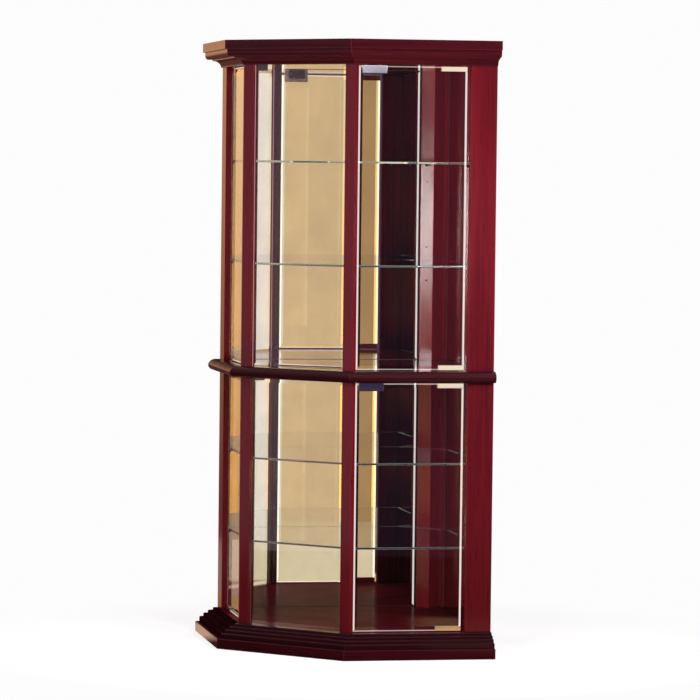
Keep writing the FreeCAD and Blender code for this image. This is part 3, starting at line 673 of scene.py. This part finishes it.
# The left mirror's bevel gets a bright painted highlight, the right one's a faint one.
mirror_left = silver("mirror_silver_left", 0.78)
mirror_right = silver("mirror_silver_right", 0.05)
brass = plain("brass", (0.90, 0.79, 0.60), 0.14, metallic=1.0)
chrome = plain("chrome", (0.37, 0.37, 0.47), 0.14, metallic=1.0)
black_plastic = plain("black_plastic", (0.012, 0.012, 0.014), 0.35, dust=0.02)
zinc = plain("zinc", (0.60, 0.60, 0.58), 0.35, metallic=1.0)
hardboard = plain("hardboard", (0.105, 0.055, 0.028), 0.65, dust=0.05)
print("glass, mirror and metal are ready")

# %% [markdown]
# ## Dress the ready-made solids
#
# The flat pieces are right as they come: boards, rails, backs, mirrors with their ground bevels, and all the
# glass. They only need their material, which goes by what their name says. The last line that fits counts.

# %% Give the flat pieces their materials
by_name = {
    "board": board_wood, "rails": board_wood, "back_panel": hardboard, "beads": post_wood,
    "ceiling_board": ceiling_wood, "top_board": top_wood, "bottom_board": floor_wood,
    "door_glass": door_glass, "pane_upper": pane_upper, "pane_lower": pane_lower, "shelf_": shelf_glass,
    "mirror_left": mirror_left, "mirror_right": mirror_right,
}
for name, node in nodes.items():
    for key, material in by_name.items():
        if key in name:
            node.data.materials.clear()
            node.data.materials.append(material)
            for polygon in node.data.polygons:
                polygon.material_index = 0
print("there are", len(nodes), "nodes")

# %% [markdown]
# ## Tools for modelling
#
# Mouldings, uprights and turned fittings all start the same way: one vertex is pushed and spun round a section.
# The closed section is then swept along a line, or the open one is turned about an axis. Corners are eased with a
# bevel, ends are cut off with a plane, and holes are taken out with a cutter.

# %% Places on the cabinet
SIDE_WIDTH = 0.410
CENTRE_WIDTH = 0.388
WALL_LENGTH = SIDE_WIDTH + CENTRE_WIDTH * math.sqrt(0.5)
ROOM_CORNER_Y = 0.437414
FACET_Y = -0.336414
HALF_CENTRE = CENTRE_WIDTH / 2
LEFT_RUN = Vector((math.sqrt(0.5), -math.sqrt(0.5), 0.0))
LEFT_IN = Vector((math.sqrt(0.5), math.sqrt(0.5), 0.0))
LEFT_TURN = math.radians(-45.0)
FRONT_RUN = Vector((1.0, 0.0, 0.0))
FRONT_IN = Vector((0.0, 1.0, 0.0))
UP = Vector((0.0, 0.0, 1.0))
FLOORS = {"lower": (0.070, 0.782), "upper": (0.814, 1.680)}
SHELVES = (0.305, 0.545, 1.107, 1.401)


def facet_place(along, inward, level=0.0):
    """A point on the left facet: along it from the wall, and inward from its face."""
    wall_end = Vector((-WALL_LENGTH * math.sqrt(0.5), ROOM_CORNER_Y - WALL_LENGTH * math.sqrt(0.5), level))
    return wall_end + LEFT_RUN * along + LEFT_IN * inward


print("the left facet runs from", [round(v, 4) for v in facet_place(0, 0)], "to",
      [round(v, 4) for v in facet_place(SIDE_WIDTH, 0)])

# %% Sections
CURVE_STEPS = 6


def pick(*pieces):
    """Selects these pieces and nothing else."""
    bpy.ops.object.select_all(action="DESELECT")
    for piece in pieces:
        piece.select_set(True)
    bpy.context.view_layer.objects.active = pieces[0]


def settle(piece):
    """Puts a piece's place, turn and size into its mesh."""
    pick(piece)
    bpy.ops.object.transform_apply(location=True, rotation=True, scale=True)


def fresh(name):
    """The piece that was just made, under its name and settled."""
    piece = bpy.context.object
    piece.name = name
    settle(piece)
    return piece


def remove(*pieces):
    """Takes away pieces that were only there to be copied or cut with."""
    for piece in pieces:
        bpy.data.objects.remove(piece)


def edit_all(select_mode="VERT"):
    """Opens the picked piece for editing, with all of it selected."""
    bpy.ops.object.mode_set(mode="EDIT")
    bpy.ops.mesh.select_mode(type=select_mode)
    bpy.ops.mesh.select_all(action="SELECT")


def arc_between(start, end, sagitta):
    """Centre and angle of an arc that bulges to the left of its chord by the sagitta."""
    chord = Vector(end) - Vector(start)
    left = Vector((-chord.y, chord.x)).normalized()
    radius = (chord.length ** 2 / 4 + sagitta ** 2) / (2 * abs(sagitta))
    towards = math.copysign(1.0, sagitta)
    centre = (Vector(start) + Vector(end)) / 2 + left * (sagitta - towards * radius)
    return centre, -towards * 2 * math.asin(chord.length / (2 * radius))


def trace(name, origin, right, up, start, steps):
    """Draws a section vertex by vertex, in a plane through the origin.

    A step is the two coordinates of the next point, and the sagitta too if the way there is an arc.
    """
    origin, right, up = Vector(origin), Vector(right), Vector(up)

    def on_plane(point):
        return origin + right * point[0] + up * point[1]

    bpy.ops.object.select_all(action="DESELECT")
    bpy.ops.mesh.primitive_plane_add(size=0.002, location=on_plane(start))
    piece = fresh(name)
    edit_all()
    bpy.ops.mesh.merge(type="CENTER")
    here = start
    for step in steps:
        point = step[:2]
        if len(step) > 2:
            centre, angle = arc_between(here, point, step[2])
            bpy.ops.mesh.spin(steps=CURVE_STEPS, angle=-angle, center=on_plane(centre), axis=right.cross(up))
        else:
            way = on_plane(point) - on_plane(here)
            bpy.ops.mesh.extrude_region_move(TRANSFORM_OT_translate={"value": tuple(way)})
        here = point
    bpy.ops.mesh.select_all(action="SELECT")
    bpy.ops.mesh.remove_doubles(threshold=1e-6)
    return piece


def closed_up(piece):
    """Turns all faces outward and ends the editing."""
    bpy.ops.mesh.normals_make_consistent(inside=False)
    bpy.ops.object.mode_set(mode="OBJECT")
    return piece


def sweep(piece, way):
    """Fills a closed section and pushes it along a way."""
    bpy.ops.mesh.edge_face_add()
    bpy.ops.mesh.extrude_region_move(TRANSFORM_OT_translate={"value": tuple(way)})
    bpy.ops.mesh.select_all(action="SELECT")
    return closed_up(piece)


def turn(piece, origin, axis, steps=28):
    """Turns an open section about an axis, and closes the seam and the poles."""
    bpy.ops.mesh.spin(steps=steps, angle=math.tau, center=tuple(origin), axis=tuple(axis))
    bpy.ops.mesh.select_all(action="SELECT")
    bpy.ops.mesh.remove_doubles(threshold=1e-6)
    return closed_up(piece)


print("a section is traced with", CURVE_STEPS, "steps to a curve")

# %% Easing, trimming, cutting and copying
SMOOTH_BELOW = math.radians(32.0)


def modify(piece, kind, **settings):
    """Adds a modifier and applies it."""
    pick(piece)
    modifier = piece.modifiers.new("step", kind)
    for label, value in settings.items():
        setattr(modifier, label, value)
    bpy.ops.object.modifier_apply(modifier=modifier.name)
    return piece


def ease(piece, width, segments=2, over=28.0):
    """Rounds every corner that turns by more than an angle."""
    return modify(piece, "BEVEL", width=width, segments=segments, limit_method="ANGLE",
                  angle_limit=math.radians(over))


def trim(piece, point, away):
    """Cuts a piece off flat, on the side that away points to."""
    pick(piece)
    edit_all()
    bpy.ops.mesh.bisect(plane_co=tuple(point), plane_no=tuple(away), use_fill=True, clear_outer=True)
    bpy.ops.object.mode_set(mode="OBJECT")
    return piece


def block(name, centre, size, turn_z=0.0):
    """A box at its place, turned about the upright."""
    bpy.ops.object.select_all(action="DESELECT")
    bpy.ops.mesh.primitive_cube_add(size=1.0, location=tuple(centre), rotation=(0.0, 0.0, turn_z), scale=tuple(size))
    return fresh(name)


def facet_block(name, along, inward, level, size):
    """A box that is square to the left facet. Its size is along the facet, inward and up."""
    return block(name, facet_place(along, inward, level), size, LEFT_TURN)


def rod(name, start, way, radius, sides=24):
    """A round bar from a point along a way."""
    start, way = Vector(start), Vector(way)
    bpy.ops.object.select_all(action="DESELECT")
    bpy.ops.mesh.primitive_cylinder_add(vertices=sides, radius=radius, depth=way.length, location=start + way / 2,
                                        rotation=way.to_track_quat("Z", "Y").to_euler())
    return fresh(name)


def join(*pieces):
    """Makes several pieces one object, which keeps the first one's name."""
    pick(*pieces)
    if len(pieces) > 1:
        bpy.ops.object.join()
    return pieces[0]


def cut(piece, *cutters):
    """Takes cutters out of a piece."""
    cutter = join(*cutters)
    modify(piece, "BOOLEAN", operation="DIFFERENCE", solver="EXACT", object=cutter)
    remove(cutter)
    return piece


def copied(piece, name, way=(0.0, 0.0, 0.0), flip=None):
    """A copy with its own mesh, moved along a way, or flipped on an axis first. It still has to be dressed."""
    twin = piece.copy()
    twin.data = piece.data.copy()
    twin.name = name
    for said in [key for key in twin.keys() if key.startswith("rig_")]:
        del twin[said]
    bpy.context.scene.collection.objects.link(twin)
    twin.location = tuple(way)
    if flip is not None:
        twin.scale[flip] = -1.0
    settle(twin)
    if flip is not None:
        edit_all()
        closed_up(twin)
    return twin


def both_sides(source, name, way):
    """A copy at its place on the left, and its flipped copy on the right."""
    left = copied(source, name, way)
    return [left, copied(left, name + "_right", flip=0)]


def dress(piece, material, replaced, body="case"):
    """Gives a finished piece its material and body, smooths its shading and hides the solid that it stands for."""
    piece.data.materials.clear()
    piece.data.materials.append(material)
    pick(piece)
    bpy.ops.object.shade_smooth_by_angle(angle=SMOOTH_BELOW)
    modify(piece, "WEIGHTED_NORMAL", keep_sharp=True)
    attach(piece, body)
    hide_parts(replaced)
    return piece


def dress_pair(left, material, replaced, body="case"):
    """Dresses a left-hand piece and its flipped copy on the right. {} in a name stands for the side."""
    dress(left, material, replaced.format("left"), body.format("left"))
    right = copied(left, left.name.replace("left", "right"), flip=0)
    return dress(right, material, replaced.format("right"), body.format("right"))


print("the modelling tools are ready")

# %% [markdown]
# ## Mouldings
#
# Cornice, waist and base are run mouldings: the same section all along, mitred at the two front corners and cut
# off flush with the walls. So each one is a traced section swept past its ends, with its arrises eased as
# sandpaper leaves them, and then cut with the mitre and wall planes. The right length is the left one flipped.

# %% Sections of the mouldings
CORNICE = ((0.0, 1.680), [
    (0.005, 1.680), (0.005, 1.6825), (0.0282, 1.69936, 0.005), (0.0312, 1.69936), (0.0312, 1.70336),
    (0.0462, 1.70336), (0.053, 1.719, -0.0026), (0.053, 1.724), (0.060, 1.724), (0.060, 1.750), (0.0, 1.750),
    (0.0, 1.680),
])
WAIST = ((0.0, 0.782), [
    (0.020, 0.782), (0.036, 0.798, -0.004686), (0.014, 0.814, -0.004423), (0.0, 0.814), (0.0, 0.782),
])
PLINTH = ((0.041, 0.0), [(0.067, 0.0), (0.067, 0.0275), (0.0655, 0.029), (0.041, 0.029), (0.041, 0.0)])
NOSE = 0.0045
NOSE_SAGITTA = -0.001318
cap_steps = []
cap_level = 0.029
for reach, rise in ((0.055, 0.015), (0.043, 0.010), (0.0295, 0.0085), (0.0145, 0.0075)):
    cap_steps.append((reach, cap_level))
    cap_level += rise
    cap_steps += [(reach, cap_level - NOSE), (reach - NOSE, cap_level, NOSE_SAGITTA)]
CAP = ((0.0, 0.029), cap_steps + [(0.0, cap_level), (0.0, 0.029)])
print("the base moulding tops out at", round(cap_level, 4))

# %% Run the mouldings
MITRE_AWAY = Vector((math.cos(math.radians(22.5)), -math.sin(math.radians(22.5)), 0.0))
FRONT_CORNER = Vector((-HALF_CENTRE, FACET_Y, 0.0))
OVERSHOOT = 0.12
MOULDING_EASING = 0.0005


def run_moulding(label, section, woods):
    """Three mitred lengths of one moulding."""
    start, steps = section
    left = trace(label + "_run_left", facet_place(-OVERSHOOT, 0.0), -LEFT_IN, UP, start, steps)
    sweep(left, LEFT_RUN * (SIDE_WIDTH + 2 * OVERSHOOT))
    ease(left, MOULDING_EASING)
    trim(left, facet_place(0.0, 0.0), -LEFT_RUN)
    trim(left, FRONT_CORNER, MITRE_AWAY)
    right = copied(left, label + "_run_right", flip=0)
    centre = trace(label + "_run_centre", (-HALF_CENTRE - OVERSHOOT, FACET_Y, 0.0), -FRONT_IN, UP, start, steps)
    sweep(centre, FRONT_RUN * (CENTRE_WIDTH + 2 * OVERSHOOT))
    ease(centre, MOULDING_EASING)
    trim(centre, FRONT_CORNER, -MITRE_AWAY)
    trim(centre, (HALF_CENTRE, FACET_Y, 0.0), (MITRE_AWAY.x, -MITRE_AWAY.y, 0.0))
    for side, piece in (("left", left), ("centre", centre), ("right", right)):
        dress(piece, woods[side], f"{label}_{side}")
        print(piece.name, len(piece.data.polygons), "faces")


run_moulding("cornice", CORNICE, moulding_wood)
run_moulding("waist_moulding", WAIST, foot_wood)
run_moulding("base_moulding", CAP, {**foot_wood, "left": tread_wood})
run_moulding("plinth", PLINTH, moulding_wood)

# %% [markdown]
# ## Stiles and posts
#
# The uprights are boards that stand on the floor. The stile's plan is a plain oblong, the post's plan turns the
# corner between two facets, and the corner board carries a square post. Each plan is traced and pushed up, its
# long arrises are eased, and the shelf-pin holes, rebates and glass grooves are cut out.

# %% Uprights
FRAME_TOP = 1.732
FRAME_THICKNESS = 0.022
STILE_WIDTH = 0.076
PIN_PITCH = 0.050
PIN_DROP = 0.0032
PIN_HOLE_RADIUS = 0.00253
pin_levels = [shelf - PIN_DROP + step * PIN_PITCH for shelf in SHELVES for step in (-1, 0, 1)]


def upright(name, points, easing):
    """A straight upright on a plan outline."""
    plan = [(point[0], point[1]) for point in points]
    piece = trace(name, (0.0, 0.0, 0.0), FRONT_RUN, FRONT_IN, plan[0], plan[1:] + plan[:1])
    sweep(piece, UP * FRAME_TOP)
    return ease(piece, easing, segments=3)


def pin_hole_cutters(mouth, into):
    """Cutters for one column of shelf-pin holes."""
    return [rod("cutter", mouth + UP * level - into * 0.002, into * 0.012, PIN_HOLE_RADIUS, sides=16)
            for level in pin_levels]


STILE_PIN = facet_place(0.0456, FRAME_THICKNESS)
POST_PIN = Vector((-HALF_CENTRE + 0.0221, FACET_Y + FRAME_THICKNESS, 0.0))
CORNER_PIN = Vector((0.0, 0.331414, 0.0))

stile = upright("stile_left", [
    facet_place(0.0, 0.0), facet_place(STILE_WIDTH, 0.0),
    facet_place(STILE_WIDTH, FRAME_THICKNESS), facet_place(0.0, FRAME_THICKNESS)], 0.0010)
rebate = facet_block("cutter", 0.0065, 0.0175, 0.876, (0.009, 0.011, 1.712))
cut(stile, rebate, *pin_hole_cutters(STILE_PIN, -LEFT_IN))
dress_pair(stile, stile_wood, "outer_stile_{}")

post = upright("post_left", [
    (-HALF_CENTRE, FACET_Y), (-0.160, FACET_Y), (-0.160, FACET_Y + FRAME_THICKNESS),
    (-0.184887, FACET_Y + FRAME_THICKNESS), facet_place(0.400, FRAME_THICKNESS), facet_place(0.400, 0.0)], 0.0008)
grooves = [block("cutter", (-0.1635, FACET_Y + 0.0155, (low + high) / 2), (0.009, 0.015, high - low + 0.016))
           for low, high in FLOORS.values()]
cut(post, *grooves, *pin_hole_cutters(POST_PIN, -FRONT_IN))
dress_pair(post, post_wood, "front_post_{}")

corner = upright("corner_post", [
    (-0.052, 0.385414), (-0.023, 0.385414), (-0.023, 0.331414), (0.023, 0.331414), (0.023, 0.385414),
    (0.052, 0.385414), (0.034, 0.403414), (-0.034, 0.403414)], 0.0008)
cut(corner, *pin_hole_cutters(CORNER_PIN, FRONT_IN))
dress(corner, corner_wood, "corner_board")
print("the uprights have", [len(o.data.polygons) for o in (stile, post, corner)], "faces")

# %% [markdown]
# ## Pivot clips
#
# Each door hangs on two brass clips that straddle the edge of the glass. A clip is a small bar with a slot for
# the glass, rounded at its front, with a pin that turns in a bush and two grub screws at the back. One clip is
# modelled at level 0, and copies go to the top and, flipped, to the bottom of each door.

# %% Brass clips
DOOR_START = 0.0845
GLASS_MIDDLE = 0.0175
PIVOT = (0.0945, GLASS_MIDDLE)
END_GAP = 0.0035
CLIP_MIDDLE = DOOR_START + 0.038
GRUB_PLACES = (0.112, 0.142)
GRUB_LEVEL = -0.0075


def sunk_face(piece, normal, inset, depth):
    """Insets the widest face that looks along a normal and sinks it."""
    pick(piece)
    edit_all("FACE")
    bpy.ops.mesh.select_all(action="DESELECT")
    bpy.ops.object.mode_set(mode="OBJECT")
    widest = max(face.area for face in piece.data.polygons if face.normal.dot(normal) > 0.99)
    for face in piece.data.polygons:
        face.select = face.normal.dot(normal) > 0.99 and face.area > 0.9 * widest
    bpy.ops.object.mode_set(mode="EDIT")
    bpy.ops.mesh.inset(thickness=inset, depth=0.0)
    bpy.ops.mesh.inset(thickness=depth, depth=-depth)
    bpy.ops.mesh.select_mode(type="VERT")
    bpy.ops.object.mode_set(mode="OBJECT")
    return piece


def grub_screw(along):
    """A small set screw with a hexagon socket, flush with the back of a clip."""
    centre = facet_place(along, 0.0, GRUB_LEVEL)
    screw = rod("grub", centre + LEFT_IN * 0.0205, LEFT_IN * 0.0022, 0.0021)
    ease(screw, 0.0003, over=40.0)
    return cut(screw, rod("cutter", centre + LEFT_IN * 0.0215, LEFT_IN * 0.003, 0.0011, sides=6))


def hinge_clip():
    """One clip with its pin, for the top of a door whose glass ends at level 0."""
    bar = facet_block("clip", CLIP_MIDDLE, GLASS_MIDDLE, -0.006, (0.076, 0.011, 0.015))
    ease(bar, 0.0011, segments=3)
    slot = facet_block("cutter", CLIP_MIDDLE, GLASS_MIDDLE, -0.010, (0.080, 0.005, 0.020))
    seats = [rod("cutter", facet_place(along, 0.0215, GRUB_LEVEL), LEFT_IN * 0.003, 0.0023) for along in GRUB_PLACES]
    cut(bar, slot, *seats)
    foot = facet_place(*PIVOT)
    pin = trace("pin", foot, LEFT_RUN, UP, (0.0, 0.001), [
        (0.0025, 0.001), (0.0025, 0.0108), (0.0018, 0.0115), (0.0, 0.0115)])
    turn(pin, foot, UP)
    return join(bar, pin, *[grub_screw(along) for along in GRUB_PLACES])


clip = hinge_clip()
flipped = copied(clip, "flipped", flip=2)
for storey, (low, high) in FLOORS.items():
    pair = join(copied(clip, storey + "_clips_left", UP * (high - END_GAP)),
                copied(flipped, "bottom", UP * (low + END_GAP)))
    dress_pair(pair, brass, storey + "_hinge_clips_{}", storey + "_door_{}")
remove(clip, flipped)
print("four pairs of clips with", len(pair.data.polygons), "faces a pair")

# %% [markdown]
# ## Catch plates
#
# A thin steel plate is folded over the free corner of each door, and the magnet of the latch grips it. It is a
# bar with a slot again, much thinner, with a shallow pressed panel on its face.

# %% Chrome plates
LATCH_ALONG = 0.352

plate = facet_block("plate", LATCH_ALONG, GLASS_MIDDLE, -0.0103, (0.072, 0.0074, 0.023))
ease(plate, 0.0004, segments=2)
sunk_face(plate, -LEFT_IN, 0.0016, 0.0002)
cut(plate, facet_block("cutter", LATCH_ALONG, GLASS_MIDDLE, -0.012, (0.080, 0.005, 0.024)))
for storey, (low, high) in FLOORS.items():
    left = copied(plate, storey + "_catch_left", UP * (high - END_GAP))
    dress_pair(left, chrome, storey + "_strike_plate_{}", storey + "_door_{}")
remove(plate)
print("four catch plates with", len(left.data.polygons), "faces each")

# %% [markdown]
# ## Touch latches
#
# A touch latch is a small black box under the board, with a sprung plunger that holds the catch plate with a
# magnet. The box has rounded corners, a sunk panel below and two screw holes. The plunger is turned.

# %% Latches
LATCH_FRONT = 0.027
LATCH_MIDDLE = LATCH_FRONT + 0.025
LATCH_LEVEL = -0.0075


def latch_screw_place(side, level):
    """The place of a screw on one side of a latch."""
    return facet_place(LATCH_ALONG + side * 0.0125, LATCH_MIDDLE + side * 0.015, level)


def latch_box():
    """One latch housing under a ceiling at level 0."""
    box = facet_block("latch", LATCH_ALONG, LATCH_MIDDLE, LATCH_LEVEL, (0.034, 0.050, 0.015))
    ease(box, 0.0012, segments=3)
    sunk_face(box, -UP, 0.0045, 0.0004)
    bore = rod("cutter", facet_place(LATCH_ALONG, LATCH_FRONT - 0.002, LATCH_LEVEL), LEFT_IN * 0.0375, 0.00458)
    holes = [rod("cutter", latch_screw_place(side, -0.017), UP * 0.020, 0.0018) for side in (-1, 1)]
    return cut(box, bore, *holes)


def plunger():
    """One plunger under a ceiling at level 0, with a magnet in its tip."""
    tip = facet_place(LATCH_ALONG, LATCH_FRONT - 0.0055, LATCH_LEVEL)
    bar = trace("plunger", tip, LEFT_RUN, LEFT_IN, (0.0, 0.0004), [
        (0.0029, 0.0004), (0.0029, 0.0), (0.0036, 0.0), (0.0045, 0.0010), (0.0045, 0.036), (0.0, 0.036)])
    return turn(bar, tip, LEFT_IN)


latch = latch_box()
rod_piece = plunger()
boxes = []
for storey, (low, high) in FLOORS.items():
    boxes += both_sides(latch, "latch_boxes", UP * high)
    left = copied(rod_piece, storey + "_plunger_piece_left", UP * high)
    dress_pair(left, black_plastic, storey + "_latch_plunger_{}", storey + "_plunger_{}")
remove(latch, rod_piece)
dress(join(*boxes), black_plastic, "latch_housings")
print("four latches, boxes with", len(boxes[0].data.polygons), "faces together")

# %% [markdown]
# ## Bushes and shelf pins
#
# Both are turned. A bush is a brass cup in the board that the pivot pin turns in. A shelf pin has a shank in its
# hole, a collar that stops on the wood, and a round nose that the shelf lies on.

# %% Bushes
pivot_foot = facet_place(*PIVOT)
cup = trace("cup", pivot_foot, LEFT_RUN, UP, (0.0, 0.0083), [
    (0.00255, 0.0083), (0.00255, 0.0003), (0.00285, 0.0), (0.0043, 0.0), (0.00455, 0.0003), (0.00455, 0.0113),
    (0.0, 0.0113)])
turn(cup, pivot_foot, UP)
cup_down = copied(cup, "cup_down", flip=2)
cups = []
for low, high in FLOORS.values():
    cups += both_sides(cup_down, "bushes", UP * low) + both_sides(cup, "bushes", UP * high)
remove(cup, cup_down)
dress(join(*cups), brass, "pivot_bushes")
print("eight bushes")

# %% Shelf pins
PIN_SECTION = [
    (0.0021, -0.008), (0.0025, -0.0076), (0.0025, 0.0), (0.0042, 0.0), (0.0045, 0.0003), (0.0045, 0.0012),
    (0.0042, 0.0015), (0.0032, 0.0015), (0.0032, 0.0115), (0.0017, 0.013, 0.0005), (0.0, 0.013),
]


def shelf_pin(name, mouth, inward):
    """One pin at level 0, pointing into the case."""
    pin = trace(name, mouth, inward.cross(UP), inward, (0.0, -0.008), PIN_SECTION)
    return turn(pin, mouth, inward)


side_pins = [shelf_pin("pin_stile", STILE_PIN, LEFT_IN), shelf_pin("pin_post", POST_PIN, FRONT_IN)]
corner_pin = shelf_pin("pin_corner", CORNER_PIN, -FRONT_IN)
pins = []
for shelf in SHELVES:
    for kind in side_pins:
        pins += both_sides(kind, "pins", UP * (shelf - PIN_DROP))
    pins.append(copied(corner_pin, "pin_middle", UP * (shelf - PIN_DROP)))
remove(*side_pins, corner_pin)
dress(join(*pins), black_plastic, "shelf_pins")
print("twenty shelf pins with", len(pins[0].data.polygons), "faces together")

# %% [markdown]
# ## Screws
#
# Countersunk screws with a cross recess hold the backs, the corner board and the latches. A screw is turned from
# its outline, and the recess is two thin bars taken out of the head. One of each kind is made and copied.

# %% Screws
SCREW_LEVELS = (0.061, 0.798, 1.689)
FIRST_IN = 0.082
LAST_IN = WALL_LENGTH + 0.011 - 0.052 / math.sqrt(0.5) - 0.060


def screw(name, head, axis, length):
    """A countersunk screw from the face of its head, with a cross recess."""
    head = Vector(head)
    side = axis.orthogonal().normalized()
    body = trace(name, head, side, axis, (0.0, 0.0), [
        (0.0035, 0.0), (0.00175, 0.0022), (0.00175, length - 0.004), (0.0, length)])
    turn(body, head, axis, steps=16)
    for along, across in ((side, axis.cross(side)), (axis.cross(side), side)):
        arm = block("cutter", (0.0, 0.0, 0.0), (0.0038, 0.0008, 0.0024))
        arm.matrix_world = Matrix((along, across, axis)).transposed().to_4x4()
        arm.location = head
        settle(arm)
        cut(body, arm)
    return body


back_screw = screw("back_screw", facet_place(0.002, 0.0), LEFT_RUN, 0.030)
corner_screw = screw("corner_screw", (0.0285, 0.403414, 0.0), -FRONT_IN, 0.039)
latch_screws = [screw("latch_screw", latch_screw_place(side, -0.015), UP, 0.025) for side in (-1, 1)]
screws = []
for level in SCREW_LEVELS:
    for share in (0.0, 0.5, 1.0):
        way = LEFT_IN * (FIRST_IN + (LAST_IN - FIRST_IN) * share) + UP * level
        screws += both_sides(back_screw, "screw_set", way)
for level in SCREW_LEVELS:
    screws += both_sides(corner_screw, "screw_corner", UP * level)
for latch_screw in latch_screws:
    for low, high in FLOORS.values():
        screws += both_sides(latch_screw, "screw_latch", UP * high)
remove(back_screw, corner_screw, *latch_screws)
dress(join(*screws), zinc, "screws")
print("the screws have", len(screws[0].data.polygons), "faces together")

# %% [markdown]
# ## Catch lights
#
# Polished metal is only as bright as what it mirrors, and here that is a dark studio. So we hold up cards for it.
# Light linking lets each card light only its own pieces, so the lacquer and the glass stay clean: one for the
# brass, a warm one above for the chrome, two for the front of the corner post, one of which also shows in the
# upper left door, and one from above that brings out the steps of the cornice.

# %% Cards


def card(name, pieces, place, target, width, height, power, colour, mirrored=True):
    """A lamp that only some pieces see. They don't show it as a reflection unless it is mirrored."""
    lamp = softbox(name, place, target, width, height, power, colour, seen=True)
    lamp.visible_glossy = mirrored
    lamp.light_linking.receiver_collection = bpy.data.collections.new(name + "_pieces")
    for piece in pieces:
        lamp.light_linking.receiver_collection.objects.link(piece)


def pieces_with(words):
    """The pieces modelled here whose names have some words in them."""
    return [piece for piece in bpy.context.scene.objects if words in piece.name and piece.name not in nodes]


brass_pieces = pieces_with("_clips_")
chrome_pieces = pieces_with("_catch_")
card("card_brass", brass_pieces, (3.5, -2.2, 1.7), (0.35, -0.17, 1.2), 1.8, 2.8, 15.0, (1.0, 0.97, 0.94))
card("card_chrome", chrome_pieces, (3.4, -2.4, 2.6), (0.35, -0.17, 1.7), 1.6, 1.6, 30.0, (1.0, 0.95, 0.84))
card("card_corner", [corner, nodes["upper_door_glass_left"]], (-1.90, -2.40, 1.17), (0.0, 0.33, 1.17),
     0.8, 0.42, 27.0, (1.0, 0.96, 0.97))
card("card_inside", [corner], (0.78, -0.80, 1.05), (0.04, 0.37, 1.05), 0.3, 1.3, 25.0, (1.0, 0.96, 0.97),
     mirrored=False)
card("card_relief", pieces_with("cornice_run_"), (1.2, -2.0, 3.2), (0.1, -0.3, 1.2), 0.5, 0.5, 40.0,
     (1.0, 0.92, 0.93), mirrored=False)
print("cards for", len(brass_pieces), "brass pieces and", len(chrome_pieces), "chrome pieces")
